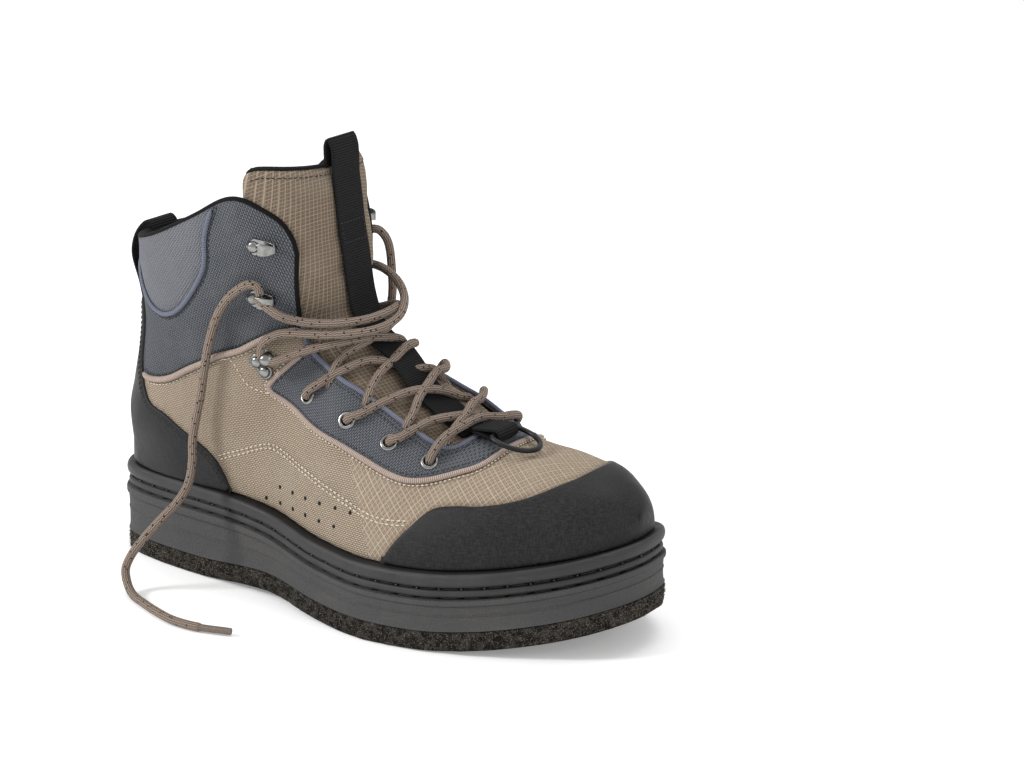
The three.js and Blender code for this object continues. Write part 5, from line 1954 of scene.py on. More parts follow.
    def build_overlays(self) -> None:
        """Toe cap, heel counter and eyestay, with their pipings and seams."""
        made, grid = self.finishes, self.grid
        self.build_overlay("toe_overlay", TOE_CAP, made.smooth, "smooth_overlay", "toe_cap")
        self.build_overlay("heel_overlay", COUNTER, made.smooth, "smooth_overlay", "heel_counter")
        self.build_overlay("eyestay_overlay", EYESTAY, made.eyestay, "grey_weave", "eyestay", holes=True)
        below_collar = lambda p: np.minimum(upper_edge(p) - 1.0, self.border_top - p[:, 2])
        pipe("eyestay_piping", seams(grid, EYESTAY, 0.0, below_collar), 1.0, 3.0, 2.4, made.edging, "edging")
        sew("eyestay_beads", seams(grid, EYESTAY, -1.9, below_collar), 0.75, 2.3, (1.6, 0.75, 0.6), made.cream,
            "edging")
        throat = seams(grid, THROAT, 0.0, lambda p: np.minimum(
            np.minimum(collar_depth(p) - 1, EYESTAY(p) + 9), 144 - p[:, 2]))
        pipe("throat_piping", throat, 1.0, 2.7, 2.5, made.blue_edging, "edging")
        throat = seams(grid, THROAT, -2.6, lambda p: np.minimum(EYESTAY(p) - 2, 126 - p[:, 2]))
        sew("throat_stitches", throat, 1.75, 2.6, (1.9, 0.6, 0.4), made.slate, "edging")
        inner = seams(grid, EYESTAY, 2.2, lambda p: np.minimum(-THROAT(p) - 3.5, upper_edge(p) - 3))
        sew("eyestay_stitches", inner, 1.75, 2.6, (1.9, 0.6, 0.4), made.slate, "edging")
        ankle = seams(grid, ANKLE, 0.0, lambda p: np.minimum(upper_edge(p) - 1, beside_overlays(p, 0.5, 0.5)))
        for side in Side:
            lines = [line for line in ankle if np.sign(line.points[:, 1].mean()) == side.value]
            name = side.name.lower()
            pipe(f"ankle_edging_{name}", lines, 1.1, 3.2, 2.6, made.edging, "edging", f"ankle_piping_{name}")
        for name, level, finish in (("ankle_stitches", -2.6, made.cream), ("ankle_dashes", 2.5, made.slate)):
            lines = seams(grid, ANKLE, level, lambda p: np.minimum(upper_edge(p) - 2, beside_overlays(p, 2, 4)))
            sew(name, lines, 0.25, 2.9, (2.1, 0.7, 0.5), finish, "edging")
        pad = seams(grid, COLLAR_PAD, 0.0, lambda p: np.minimum(collar_depth(p) - 1.5, -COUNTER(p) - 0.5))
        pipe("collar_piping", pad, 0.7, 2.5, 2.2, made.blue_edging, "edging")
        pad = seams(grid, COLLAR_PAD, 2.6, lambda p: np.minimum(upper_edge(p) - 2.0, -COUNTER(p) - 2.0))
        sew("collar_stitches", pad, 0.35, 3.0, (2.0, 0.7, 0.5), made.slate, "edging")
        lines = [line for level in (1.7, 3.4) for line in seams(grid, COUNTER, level, lambda p: upper_edge(p) - 3)]
        sew("counter_stitches", lines, 1.75, 2.7, (1.9, 0.6, 0.4), made.dark, "smooth_overlay")

    def build_quarter_stitching(self) -> None:
        """The double cream line along the quarter and the single one under the ankle piping."""
        made, grid = self.finishes, self.grid
        double = SideLine(spline((
            (74, 61), (82, 66.5), (94, 71), (113, 77.5), (121, 76.5), (138, 73), (170, 64.5), (188, 60), (199, 59),
            (212, 60)), 8))
        open_cloth = lambda p: np.minimum.reduce([
            upper_edge(p) - 1.5, -COUNTER(p) - 0.5, -TOE_CAP(p) - 0.5, p[:, 0] - 76, 211 - p[:, 0]])
        lines = [line for level in (-0.9, 1.1) for line in seams(grid, double, level, open_cloth)]
        sew("quarter_stitches", lines, 0.3, 3.0, (2.2, 0.8, 0.6), made.cream, "canvas")
        single = SideLine(spline((
            (78, 116), (90, 120.5), (96, 113), (99, 108.5), (107, 105.5), (116, 104)), 8))
        lines = seams(grid, single, 0.0, lambda p: np.minimum.reduce([
            p[:, 0] - 84, 112 - p[:, 0], -ANKLE(p) - 1.5, -EYESTAY(p) - 1.5]))
        sew("corner_stitches", lines, 0.3, 2.8, (2.0, 0.7, 0.5), made.cream, "canvas")

    def build_perforations(self) -> None:
        """Two rows of drain holes on each quarter, drawn as near-black discs of painted shade."""
        rows = (((123.0, 59.0), (177.0, 59.5)), ((113.0, 51.0), (167.0, 50.5)))
        middle = np.vstack([FORM.on_side(np.linspace(start, end, 6), side) for start, end in rows for side in Side])
        out = FORM.outward(middle)
        along = np.cross(out, [0, 1.0, 0]) + [1e-3, 0, 0]
        relief = (self.relief(middle) * self.free(middle))[:, None]
        # The holes are not cut: each is a dark disc of painted shade set into the cloth.
        SmallThings(Bead.HOLE, (2.1, 2.1, 0.5), 0.05).set_along(
            "drain_hole_shade", middle + out * (relief - 0.12), along, out, self.finishes.hole, "canvas")

    def build(self) -> None:
        """Builds the whole upper."""
        self.build_shell()
        self.build_overlays()
        self.build_quarter_stitching()
        self.build_perforations()


@dataclass
class Tongue:
    """The padded tongue, the webbing down its middle and the pull loops."""

    finishes: Finishes
    grid: Patch
    face: float = -2.7
    padding: float = 9.0
    margin: float = 5.0
    top: float = 222.0
    width: float = 70.0
    strap_width: float = 22.0
    strap_thickness: float = 1.5
    loop_top: float = 235.0
    heel_loop_width: float = 20.0
    heel_bulge: float = 7.0
    inside_x: float = 74.0
    folds: tuple[tuple[float, float, float, float], ...] = (
        (190, 0.25, 0.5, 4.5), (168, -0.35, 0.9, 5), (152, 0.3, 0.9, 4), (176, 0.6, 0.5, 3.5))

    def outline(self) -> SideLine:
        """The tongue's side view: under the throat's edges, rounded at its top."""
        line = side_points(THROAT_LINE[1:]) - self.margin
        front = 0.692 * SOLE_LENGTH + self.margin
        back = 0.413 * SOLE_LENGTH - self.margin - self.width / 3
        corner = 9.0
        turns = np.linspace(0, np.pi / 2, 6)
        arc = np.stack([back + corner - corner * np.sin(turns), self.top - corner + corner * np.cos(turns)], -1)
        points = np.vstack([line, [[front, line[-1, 1]], [front, self.top]], arc,
                            [[back, 0.85 * COLLAR_HEIGHT - self.margin]]])
        return SideLine(points, closed=True)

    def build_pad(self) -> None:
        """The tongue itself: cloth outside, knitted lining inside."""
        outline = self.outline()
        patch = self.grid.trimmed(outline).cut(outline, (0.7, 1.8, 3.4))
        depth = outline(patch.points)
        y = patch.points[:, 1] - FORM.shaft_middle
        strap_seam = np.exp(-(((np.abs(y) - self.strap_width / 2) / 3.0) ** 2))
        above = soft_step(patch.points[:, 2], 150, 175)
        puff = above * (0.9 * soft_step(depth, 2, 12) - 0.8 * strap_seam)
        for level, slope, deep, wide in self.folds:
            gap = patch.points[:, 2] - level - slope * y
            puff -= deep * soft_step(depth, 1, 8) * np.exp(-((gap / wide) ** 2))
        half = self.padding / 2
        middle = self.face - half
        swell = rounded(depth, 4.0)
        points, faces = wall_of(patch, middle + half * swell + puff, middle - half * (0.25 + 0.75 * swell))
        zones = (np.arange(len(faces)) >= len(patch.faces)).astype(int)
        corners = on_both(patch.points)[faces].reshape(-1, 3)
        cloth = np.stack([corners[:, 1], corners[:, 2] - 0.45 * corners[:, 0]], -1)
        made = self.finishes
        piece = build_object("tongue_pad", points, faces, [made.tongue, made.lining], zone=zones, cloth=cloth,
                             values={"seam": on_both(depth + 1.5)})
        settle(piece, "canvas", "tongue")
        edge = seams(self.grid, outline, 0.4, lambda p: p[:, 2] - (self.top - 4))
        pipe("tongue_binding", edge, middle + 1.6, 2.4, 4.4, made.binding, "webbing")
        rows = seams(self.grid, outline, 4.6, lambda p: p[:, 2] - (self.top - 7))
        sew("tongue_stitches", rows, self.face + 0.55, 2.9, (2.0, 0.6, 0.5), made.dark, "canvas")

    def ribbon(self, name: str, line: Array, width: float, node: str) -> None:
        """Webbing along a side view line in the shaft's middle plane.

        Args:
            name: The piece's name.
            line: Its middle line as x and z.
            width: Its width across the boot.
            node: The CAD node that it stands for.
        """
        section = slab_section(width, self.strap_thickness, 0.5, 10)
        points, faces, cloth = side_sweep(resampled(line, 1.4), FORM.shaft_middle, section)
        piece = build_object(name, points, faces, [self.finishes.webbing], cloth=cloth, sharp=60)
        settle(piece, "webbing", node)

    def build_strap(self) -> None:
        """The webbing down the tongue with its pull loop on top."""
        lift = self.face + 0.2 + self.strap_thickness / 2
        front = FORM.met(self.inside_x, FORM.shaft_middle, np.linspace(self.top - 6, 118, 60), AHEAD)
        low = FORM.met(np.linspace(front[-1, 0] + 1.5, 219, 40), FORM.shaft_middle, 75.0, UP)
        down = np.vstack([front, low])
        over = lift + 5.6 * np.exp(-(((down[:, 0] - 171.5) / 8.5) ** 2)) * (down[:, 2] < 135)
        down = down + FORM.outward(down) * over[:, None]
        rise, depth = self.loop_top - self.top, 5.0
        loop = np.array([(0.96, 0.08), (1.0, 0.47), (0.96, 0.74), (0.6, 0.95), (0.15, 0.63), (0.0, 0.1)])
        loop = np.stack([down[0, 0] - loop[:, 0] * depth, self.top + loop[:, 1] * rise], -1)
        tail = np.array([[loop[0, 0] + 0.6, self.top - 12.0]])
        line = spline(np.vstack([tail, loop, down[::6, [0, 2]]]), 8)
        self.ribbon("strap_webbing", line, self.strap_width, "tongue_strap")
        half, rise, level = 9.0, 5.0, 187.0
        box = resampled(np.array([(sx * half, level + sz * rise) for sx, sz in (
            (-1, 1), (1, 1), (1, -1), (-1, -1), (-1, 1))]), 2.4)
        on = FORM.met(self.inside_x, FORM.shaft_middle, box[:, 1], AHEAD)
        on[:, 1] += box[:, 0]
        raised = on + np.array(AHEAD) * (lift + self.strap_thickness / 2 + 0.15)
        SmallThings(Bead.STITCH, (1.8, 0.6, 0.4)).set_along(
            "box_stitches", raised[:-1], np.diff(raised, axis=0), FORM.outward(on)[:-1], self.finishes.slate,
            "webbing")

    def build_heel_loop(self) -> None:
        """The webbing loop behind the collar."""
        collar_back = 0.833 * COLLAR_HEIGHT
        seat, bulge = 1.6 + 0.3 + self.strap_thickness / 2, self.heel_bulge
        rows = np.array([(0.78, -2.4 - seat), (0.833, -2.4 - seat), (0.85, -1.2), (0.82, seat + 0.5 * bulge),
                         (0.765, seat + bulge), (0.69, seat + 0.3 * bulge), (0.65, seat - 0.3)])
        back = FORM.met(55.65, FORM.shaft_middle, np.minimum(rows[:, 0] * COLLAR_HEIGHT, collar_back), BACK)
        line = np.stack([back[:, 0] - rows[:, 1], rows[:, 0] * COLLAR_HEIGHT], -1)
        self.ribbon("heel_webbing", spline(line, 10), self.heel_loop_width, "heel_loop")

    def build(self) -> None:
        """Builds the tongue, strap and loops."""
        self.build_pad()
        self.build_strap()
        self.build_heel_loop()


@dataclass
class Hardware:
    """Eyelets, lace hooks, locking hooks and the D-ring with its tab."""

    finishes: Finishes
    bore: float = 2.6
    flange: float = 4.6
    hook_length: float = 17.0
    hook_width: float = 9.0
    hook_plate: float = 1.0
    rivet: float = 6.0
    reach: float = 6.3
    ring_thickness: float = 3.0
    ring_width: float = 27.0
    ring_depth: float = 21.0
    ring_x: float = 0.731 * SOLE_LENGTH
    ring_z: float = 96.469
    ring_y: float = 1.0
    ring_slope: float = 0.27
    tab_tail: float = 13.0
    tab_width: float = 17.1

    def metal_piece(self, name: str, parts: Sequence[tuple[Array, Array]], place: Place, lift: float,
                    node: str) -> None:
        """A metal piece made round the origin and seated on the upper.

        Args:
            name: The piece's name.
            parts: Its solids round the origin.
            place: Its place.
            lift: How far it is raised off the form.
            node: The CAD node that it stands for.
        """
        seated = []
        for points, faces in parts:
            moved = place.seat(points, lift)
            seated.append((moved, outward_faces(moved - moved.mean(0), faces)))
        points, faces = merged(*seated)
        settle(build_object(name, points, faces, [self.finishes.metal], sharp=42), "hook_metal", node)

    def plate(self, outline: Sequence[tuple[float, float]], bevel: float = 0.28) -> tuple[Array, Array]:
        """A stamped plate with rounded corners and edges.

        Args:
            outline: Its corners as x and y.
            bevel: The size of its bevelled edges.

        Returns:
            Points and triangles.
        """
        corners = np.array(outline, float)
        rounds = []
        for i, corner in enumerate(corners):
            before, after = corners[i - 1], corners[(i + 1) % len(corners)]
            cut = 0.9
            a = corner + normalised(before - corner) * cut
            b = corner + normalised(after - corner) * cut
            rounds += [a, (a + 2 * corner + b) / 4, b]
        flat = np.array(rounds)
        centre = flat.mean(0)
        rows = ((bevel, 0.0), (0.0, bevel), (0.0, self.hook_plate - bevel), (bevel, self.hook_plate))
        loops = []
        for inset, z in rows:
            drawn = flat - normalised(flat - centre) * inset
            loops.append(np.column_stack([drawn, np.full(len(flat), z)]))
        size = len(flat)
        a, b, c, d = grid_quads(len(rows), size, False)
        points = np.vstack([*loops, [[*centre, 0.0]], [[*centre, self.hook_plate]]])
        ring = np.arange(size)
        turn = (ring + 1) % size
        under = np.stack([turn, ring, np.full(size, 4 * size)], 1)
        over = np.stack([3 * size + ring, 3 * size + turn, np.full(size, 4 * size + 1)], 1)
        return points, outward_faces(points, np.vstack([split_quads(a, d, c, b), under, over]))

    def disc(self, radius: float, x: float, y: float) -> tuple[Array, Array]:
        """A round stamped plate."""
        turns = 2 * np.pi * np.arange(20) / 20
        return self.plate([(x + radius * math.cos(t), y + radius * math.sin(t)) for t in turns])

    def dome(self, x: float, y: float) -> tuple[Array, Array]:
        """A rivet's domed head with a small step under it.

        Args:
            x: Its place ahead.
            y: Its place upwards.

        Returns:
            Points and triangles.
        """
        r = self.rivet / 2
        turns = np.linspace(0, np.pi / 2, 8)
        cap = np.stack([r * np.cos(turns), 0.35 + 0.55 * r * np.sin(turns)], -1)
        cap[-1, 0] = 0.01
        profile = np.vstack([[[0.01, 0.0], [r * 0.9, 0.0], [r, 0.12]], cap])
        points, faces = lathe(profile, 24)
        return points + [x, y, self.hook_plate], faces

    def curl(self, width: float, start: float) -> tuple[Array, Array]:
        """The strip that curls back over the plate.

        Args:
            width: Its width where it is full.
            start: The x where it leaves the plate.

        Returns:
            Points and triangles.
        """
        length, rise, thick = self.hook_length, self.reach, self.hook_plate
        line = spline((
            (0, 0.5 * thick), (0.3 * length, 0.55 * thick), (0.42 * length, 0.3 * rise), (0.43 * length, 0.7 * rise),
            (0.3 * length, 1.02 * rise), (0.1 * length, 1.06 * rise), (-0.04 * length, 0.98 * rise)), 7)
        share = np.linspace(0, 1, len(line))
        return side_sweep(line + [start, 0], 0.0, slab_section(width, thick, 0.4, 4),
                          0.62 + 0.5 * soft_step(share, 0.45, 0.85))[:2]

    def horn(self, x: float, y: float) -> tuple[Array, Array]:
        """The locking hook's blunt cone, leaning ahead, that the lace passes behind.

        Args:
            x: Its foot's place ahead.
            y: Its foot's place upwards.

        Returns:
            Points and triangles.
        """
        share = np.linspace(0, 1, 16)
        path = np.stack([x + 2.6 * share**1.4, y + 1.6 * share, self.hook_plate + 7.2 * share], -1)
        blunt = np.sqrt(1 - 0.97 * (np.clip(share - 0.6, 0, 1) / 0.4) ** 2)
        return sweep(path, ring_section(8.4, 7.4, 20), np.tile([0, 1.0, 0], (16, 1)),
                     scale=(0.62 + 0.38 * soft_step(share, 0.2, 0.5)) * blunt)[:2]

    def build_hooks(self) -> None:
        """Two lace hooks and a locking hook on each side."""
        back, wide = self.hook_length / 2, self.hook_width / 2
        outline = ((-back, 0), (-0.5 * back, -wide), (0.3 * back, -0.72 * wide), (0.92 * back, -0.3 * wide),
                   (0.92 * back, 0.3 * wide), (0.3 * back, 0.72 * wide), (-0.5 * back, wide))
        step = 0.62 * self.rivet
        for side in Side:
            name = side.name.lower()
            for i, row in enumerate(HOOK_ROWS, 1):
                parts = [self.plate(outline), self.dome(-0.5 * back, 0),
                         self.curl(0.62 * self.hook_width, 0.05 * self.hook_length)]
                self.metal_piece(f"lace_hook_{name}_{i}", parts, Place.at(row, side), 0.95, f"hook_{name}_{i}")
            radius = 0.7 * self.rivet
            rivets = ((-1.15 * step, 0.0), (-0.1 * step, -1.35 * step))
            parts = [self.disc(radius, 0.65 * step, 0.7 * step), self.horn(0.65 * step, 0.7 * step)]
            parts += [make for x, y in rivets for make in (self.disc(radius, x, y), self.dome(x, y))]
            self.metal_piece(f"cinch_hook_{name}", parts, Place.at(LOCKING_ROW, side), 1.3,
                             f"locking_hook_{name}")

    def build_eyelets(self) -> None:
        """Four rolled eyelets on each side."""
        seat, bore, flange = 1.75, self.bore, self.flange
        profile = np.array([
            (bore, -2.4), (bore + 0.6, -2.4), (bore + 0.6, seat), (flange - 0.15, seat), (flange, seat + 0.3),
            (flange - 0.2, seat + 0.75), (flange - 0.7, seat + 1.05), (bore + 0.7, seat + 1.05),
            (bore + 0.2, seat + 0.8), (bore, seat + 0.3)])
        for side, places in zip(Side, EYELETS):
            for i, place in enumerate(places, 1):
                name = side.name.lower()
                self.metal_piece(f"rolled_eyelet_{name}_{i}", [lathe(profile, 32)], place, 0.0,
                                 f"eyelet_{name}_{i}")

    def build_ring(self) -> None:
        """The D-ring, on its own body."""
        turns = np.pi * (np.arange(9) / 8 - 0.5)
        x, y, z, thick = self.ring_x, self.ring_y, self.ring_z, self.ring_thickness
        ahead = 0.3 * self.ring_depth + np.cos(turns) * (0.7 * self.ring_depth - thick / 2)
        bow = np.stack([x + ahead, y + np.sin(turns) * (self.ring_width - thick) / 2,
                        z - self.ring_slope * ahead], -1)
        end = self.ring_width / 2 - thick
        bar = np.array([[x, y + across, z] for across in (end, 0.33 * end, -0.33 * end)])
        ring = np.vstack([[[x, y - end, z]], bow, bar])
        path = spline(np.vstack([ring[-3:], ring, ring[:3]]), 6)[18:-13]
        slope = normalised(np.array([self.ring_slope, 0, 1.0]))
        size = 0.94 * thick
        points, faces, _ = sweep(path, ring_section(size, 0.92 * size, 16), np.tile(slope, (len(path), 1)),
                                 closed=True)
        settle(build_object("ring_bow", points, faces, [self.finishes.plastic]), "ring_plastic", "d_ring",
               body=RING)

    def build_tab(self) -> None:
        """The webbing fold round the ring's bar."""
        thick = 1.5
        radius = self.ring_thickness / 2 + 0.45 + thick / 2
        turns = np.linspace(-np.pi / 2, np.pi / 2, 12)
        fold = np.stack([self.ring_x + radius * np.cos(turns), self.ring_z + radius * np.sin(turns)], -1)
        tail_x = self.ring_x - self.tab_tail
        low = float(FORM.met(tail_x, self.ring_y, 60.0, UP)[0, 2]) + 1.9
        under = np.array([[tail_x, low + 0.8], [tail_x + 5, low + 0.6]])
        over = np.array([[tail_x + 5, low + 3.0], [tail_x, low + 2.6]])
        line = spline(np.vstack([under, fold, over]), 5)
        points, faces, cloth = side_sweep(line, self.ring_y, slab_section(self.tab_width, thick, 0.45, 8))
        settle(build_object("ring_tab", points, faces, [self.finishes.webbing], cloth=cloth, sharp=60),
               "webbing", "d_ring_tab")

    def build(self) -> None:
        """Builds all the hardware."""
        self.build_hooks()
        self.build_eyelets()
        self.build_ring()
        self.build_tab()


def over_vamp(x: float, y: float, lift: float) -> Point:
    """A point raised off the top of the form."""
    point = FORM.met(x, y, 60.0, UP)
    return tuple((point + FORM.outward(point) * lift)[0])


@dataclass
class Lacing:
    """The braided lace: crossings, turns round the hooks and two free ends."""

    finishes: Finishes
    diameter: float = 4.5
    tip_length: float = 17.0
    lateral_end: tuple[Point, ...] = (
        (115.9, -42.4, 159.4), (115.2, -43.1, 163), (112.8, -44, 164.5), (109, -44.7, 163.7), (101, -45, 158.3),
        (95.8, -44.4, 153.4), (90.5, -43.4, 146.7), (85.6, -42.6, 137.5), (81.6, -42, 126.5), (78.4, -41.8, 113.1),
        (76, -42, 100.5), (73.4, -42.8, 88.5), (72.4, -45, 76.8), (75.1, -49, 67.1), (76.6, -54.5, 57),
        (74.5, -61, 48.5), (68.5, -68, 39.5), (61, -72.5, 29.5), (54.5, -75, 20), (51.5, -76.5, 12),
        (54, -78.5, 6.2), (62, -84, 3), (75, -90.5, 2.6), (90, -97, 2.6), (103, -101, 2.6), (118, -101.5, 2.6),
        (136, -97.5, 2.6))
    medial_end: tuple[Point, ...] = (
        (115.9, 44.6, 159.4), (115.5, 44.7, 165), (115.6, 44.6, 169.5), (117.6, 44.8, 173.8), (121, 45, 175.7),
        (124.8, 46.3, 175.8), (127.5, 47.5, 173.4), (129.4, 48.5, 169.6), (130.4, 49, 164.7), (130.8, 49.5, 157.9),
        (131.2, 49.5, 151.4), (131.4, 49.5, 145.2), (130.6, 49.5, 138.1), (128, 49.6, 130), (124.5, 49.8, 121.5))

    def out_of(self, side: Side, number: int, toward: Point) -> list[Point]:
        """The lace's first points as it comes up out of an eyelet.

        Args:
            side: The eyelet's side.
            number: The eyelet's number from the top.
            toward: Where the lace goes.

        Returns:
            The points, from inside the eyelet outwards.
        """
        place = EYELETS[0 if side is Side.LATERAL else 1][number - 1]
        lean = normalised(np.array(toward) - place.point)
        lean = normalised(lean - place.outward * (lean @ place.outward))
        steps = ((-3.5, 0.0), (0.5, 0.1), (3.4, 0.9), (5.0, 3.2))
        return [tuple(place.point + place.outward * up + lean * ahead) for up, ahead in steps]

    def crossings(self) -> dict[str, list[list[Point]]]:
        """Every strand of each crossing, from the lateral side to the medial one."""
        lateral, medial = Side.LATERAL, Side.MEDIAL
        bar = [(213.2, -23.3, 96.6), (214.7, -9.3, 99.4), (216.7, 4.3, 100.7), over_vamp(217.5, 17, 4.2),
               over_vamp(216, 29, 4.2)]
        one_b = [over_vamp(213, -23, -4), over_vamp(211.4, -17.5, 1.2), (211.4, -8.7, 99.3), (211, -0.7, 102.3),
                 (208.1, 9.5, 105.2), over_vamp(204, 19, 4.6), over_vamp(198, 30, 4.4)]
        one_a = [(193.6, -34.8, 96.2), (196.5, -24.5, 98.6), (201, -14.8, 101.5), (206.7, -7.4, 102.4),
                 (209.6, 3.1, 101.2), (211.5, 13.5, 98.6), over_vamp(214, 20.5, -1.0), over_vamp(215, 25, -4)]
        two_b = [over_vamp(191.5, -28.5, -3.5), over_vamp(191.4, -23.5, 1.0), (191.1, -18.3, 103.2),
                 (190.1, -11, 110.5), (188.5, -0.3, 115.3), (186.6, 9.5, 118.6), over_vamp(183, 18, 4.8),
                 over_vamp(176, 27, 4.4)]
        two_a = [(170.6, -36.4, 104.6), (175, -27.8, 107.7), (179.3, -20.4, 110.3), (184.5, -12.1, 112.7),
                 (190, -4.2, 113.2), (193.3, 7.2, 109.8), (196.2, 14.6, 105.8), over_vamp(198.5, 21.5, -1.0),
                 over_vamp(199.5, 27, -4)]
        three_b = [over_vamp(169.5, -31, -3.5), over_vamp(169.6, -27, 1.0), (169.7, -21.2, 117),
                   (170, -15.2, 121.6), (171.5, -5.1, 126.9), (171.2, 5.1, 130.2), over_vamp(166, 15.5, 4.6),
                   over_vamp(156, 24, 4.4)]
        three_a = [(144.1, -33.4, 115.4), (148.1, -28.4, 118.7), (155.6, -22.8, 123.4), (162.5, -15.4, 126.6),
                   (170.5, -7.3, 124.6), (175.4, 2.6, 119.6), over_vamp(180, 13, 2.0), over_vamp(182.5, 22, -2),
                   over_vamp(183, 28, -4)]
        four_b = [over_vamp(146, -32, -3.5), over_vamp(148.4, -26.5, 1.5), (150.3, -20.5, 127.7),
                  (155.3, -17, 132.2), (159.8, -9, 136), (161.3, 2, 139), (157.8, 14, 140.6), (150.3, 24, 139.7),
                  (135, 36.5, 133), (121, 40.5, 126.5), (115.5, 40.6, 126)]
        four_a = [(113.0, -39.2, 126.8), (115.6, -38.8, 124.2), (120.5, -38.0, 124.4), (131.5, -34.5, 129.4),
                  (142.3, -29.5, 133.5), (152.3, -22.3, 136.2), (159.8, -12, 137.2), (163.4, -1, 135.2),
                  over_vamp(162.5, 10, 2.6), over_vamp(161, 19.5, -1.5), over_vamp(160, 25, -4)]
        five_b = [(113.2, -39.2, 126.6), (113.9, -39.8, 131.0), (117.6, -40.4, 135.6), (125.8, -38.4, 140),
                  (136, -34.2, 140.4), (147.9, -28.8, 140.4), (157.4, -23.4, 141.2), (165.5, -15.7, 142.5),
                  (169.4, -6, 144.5), (169, 4, 147.5), (164, 14, 151.5), (155, 24, 154.5), (144, 33, 156.4),
                  (130, 41, 157.8), (117.5, 44.4, 157.6), (113.5, 45, 157.2)]
        five_a = [(113.4, -42.6, 157.4), (118.4, -42.2, 154.2), (126.5, -40.1, 149.4), (134, -34.7, 146.6),
                  (143, -29.4, 145.6), (152.5, -23.5, 146), (161.5, -13.5, 147.2), (165.4, -1.7, 149),
                  (162, 11, 148.5), (154.5, 23, 145), (143, 33.5, 141.5), (128, 40.5, 136), (119, 42.3, 134),
                  (115, 41.6, 128.5)]
        return {
            "lace_cross_1": [
                [*self.out_of(lateral, 4, bar[0]), *bar, *self.out_of(medial, 4, bar[-1])[::-1]],
                [*one_b, *self.out_of(medial, 3, one_b[-1])[::-1]],
                [*self.out_of(lateral, 3, one_a[0]), *one_a]],
            "lace_cross_2": [[*two_b, *self.out_of(medial, 2, two_b[-1])[::-1]],
                             [*self.out_of(lateral, 2, two_a[0]), *two_a]],
            "lace_cross_3": [[*three_b, *self.out_of(medial, 1, three_b[-1])[::-1]],
                             [*self.out_of(lateral, 1, three_a[0]), *three_a]],
            "lace_cross_4": [four_b, four_a],
            "lace_cross_5": [five_b, five_a],
        }

    def strand(self, points: Sequence[Point], tip: float = 0.0) -> tuple[Array, ...]:
        """One strand as a tube.

        Args:
            points: The points that it runs through.
            tip: The share of its length that is taped, and thinner.

        Returns:
            Points, triangles, the UV place of each triangle corner and the middle line.
        """
        path = resampled(spline(points, 10), 1.6)
        scale = np.where(np.linspace(0, 1, len(path)) > 1 - tip, 0.8, 1.0)
        return (*sweep(path, ring_section(self.diameter, self.diameter, 12), scale=scale), path)

    def build_crossings(self) -> None:
        """The strands over the tongue."""
        for name, strands in self.crossings().items():
            made = [self.strand(points) for points in strands]
            points, faces = merged(*[m[:2] for m in made])
            piece = build_object(f"{name}_braid", points, faces, [self.finishes.lace],
                                 cloth=np.vstack([m[2] for m in made]))
            settle(piece, "lace", name)

    def build_end(self, name: str, node: str, route: Sequence[Point]) -> None:
        """One free end, with its taped tip.

        Args:
            name: The piece's name.
            node: The CAD node that it stands for.
            route: The points that it runs through, from its hook to its tip.
        """
        route_length = np.linalg.norm(np.diff(spline(route, 10), axis=0), axis=1).sum()
        points, faces, cloth, path = self.strand(route, self.tip_length / route_length)
        zone = (cloth[:, :, 0].mean(1) > route_length - self.tip_length).astype(int)
        piece = build_object(name, points, faces, [self.finishes.lace, self.finishes.tip], zone=zone, cloth=cloth)
        settle(piece, "lace", node)

    def build_ends(self) -> None:
        """The two free ends."""
        self.build_end("lace_tail_lateral", "lace_end_lateral", self.lateral_end)
        self.build_end("lace_tail_medial", "lace_end_medial", self.medial_end)


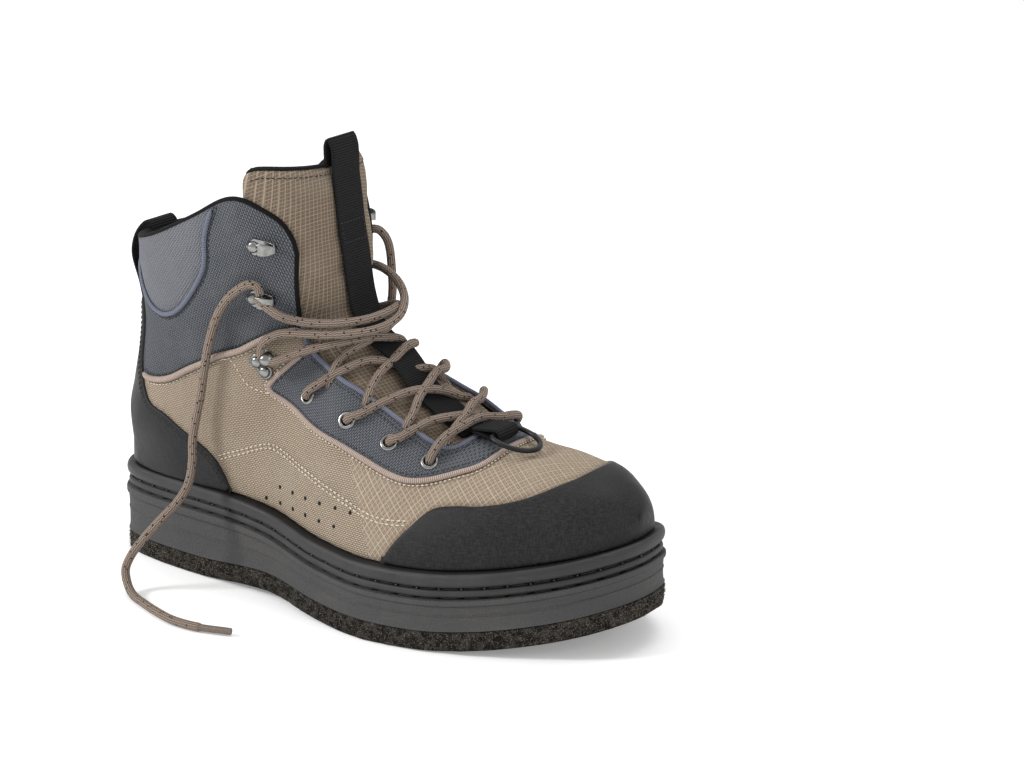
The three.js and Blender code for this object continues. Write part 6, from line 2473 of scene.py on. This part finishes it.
@dataclass
class Studio:
    """The camera, the pale floor and soft lights."""

    eye: Point = (0.90497, -1.25421, 0.57173)
    target: Point = (0.0790, 0.00316, 0.12206)
    lens: float = 112.5
    sensor: float = 36.0
    lamp_target: Point = (0.0, 0.0, 0.09)
    floor_half: float = 12.0
    floor_glow: float = 0.22
    sky_strength: float = 0.72

    def aim(self, thing: bpy.types.Object, place: Point, target: Point) -> None:
        """Puts a camera or lamp at a place and points it at a target.

        Args:
            thing: The camera or lamp.
            place: Its place.
            target: What it points at.
        """
        thing.location = place
        turn = (Vector(target) - Vector(place)).to_track_quat("-Z", "Y")
        thing.rotation_euler = turn.to_euler()

    def build_camera(self) -> None:
        """The camera at the photograph's angle."""
        lens = bpy.data.cameras.new("camera")
        lens.lens, lens.sensor_width, lens.sensor_fit = self.lens, self.sensor, "HORIZONTAL"
        camera = linked(bpy.data.objects.new("camera", lens))
        self.aim(camera, self.eye, self.target)
        bpy.context.scene.camera = camera

    def lamp(self, name: str, place: Point, size: float, power: float) -> None:
        """A soft square lamp aimed at the boot.

        Args:
            name: Its name.
            place: Its place.
            size: The length of its sides.
            power: Its power in watts.
        """
        light = bpy.data.lights.new(name, "AREA")
        light.shape, light.size, light.energy = "SQUARE", size, power
        self.aim(linked(bpy.data.objects.new(name, light)), place, self.lamp_target)

    def build(self) -> None:
        """The floor, the world and the lamps."""
        scene = bpy.context.scene
        scene.view_settings.view_transform = "Standard"
        graph = Graph("pale_floor", 0.9, 0.1)
        graph.dress({"Emission Color": (1, 1, 1, 1), "Emission Strength": self.floor_glow})
        mesh = bpy.data.meshes.new("floor")
        half = self.floor_half
        mesh.from_pydata([(-half, -half, 0), (half, -half, 0), (half, half, 0), (-half, half, 0)], [],
                         [(0, 1, 2, 3)])
        mesh.materials.append(graph.done((0.86, 0.86, 0.86, 1)))
        linked(bpy.data.objects.new("floor", mesh))
        scene.world = bpy.data.worlds.new("studio")
        scene.world.use_nodes = True
        sky = scene.world.node_tree.nodes["Background"].inputs
        sky["Color"].default_value = (1, 1, 1, 1)
        sky["Strength"].default_value = self.sky_strength
        self.lamp("key", (-1.15, -1.25, 1.15), 0.42, 26)
        self.lamp("top", (0.1, 0.5, 1.7), 1.2, 12)
        self.lamp("front", (1.5, -0.3, 0.8), 0.6, 4)


def main() -> None:
    """Builds the boot in order and reports each piece."""
    logging.basicConfig(level=logging.INFO, format="%(name)s: %(message)s")
    studio = Studio()
    studio.build_camera()
    finishes = Finishes()
    lacing = Lacing(finishes)
    lacing.build_ends()
    grid = FormGrid().build()
    log.info("form: %d points", len(grid.points))
    Sole(finishes).build()
    Upper(finishes, grid).build()
    Tongue(finishes, grid).build()
    Hardware(finishes).build()
    lacing.build_crossings()
    studio.build()


if __name__ == "__main__":
    main()
    bpy.context.view_layer.update()
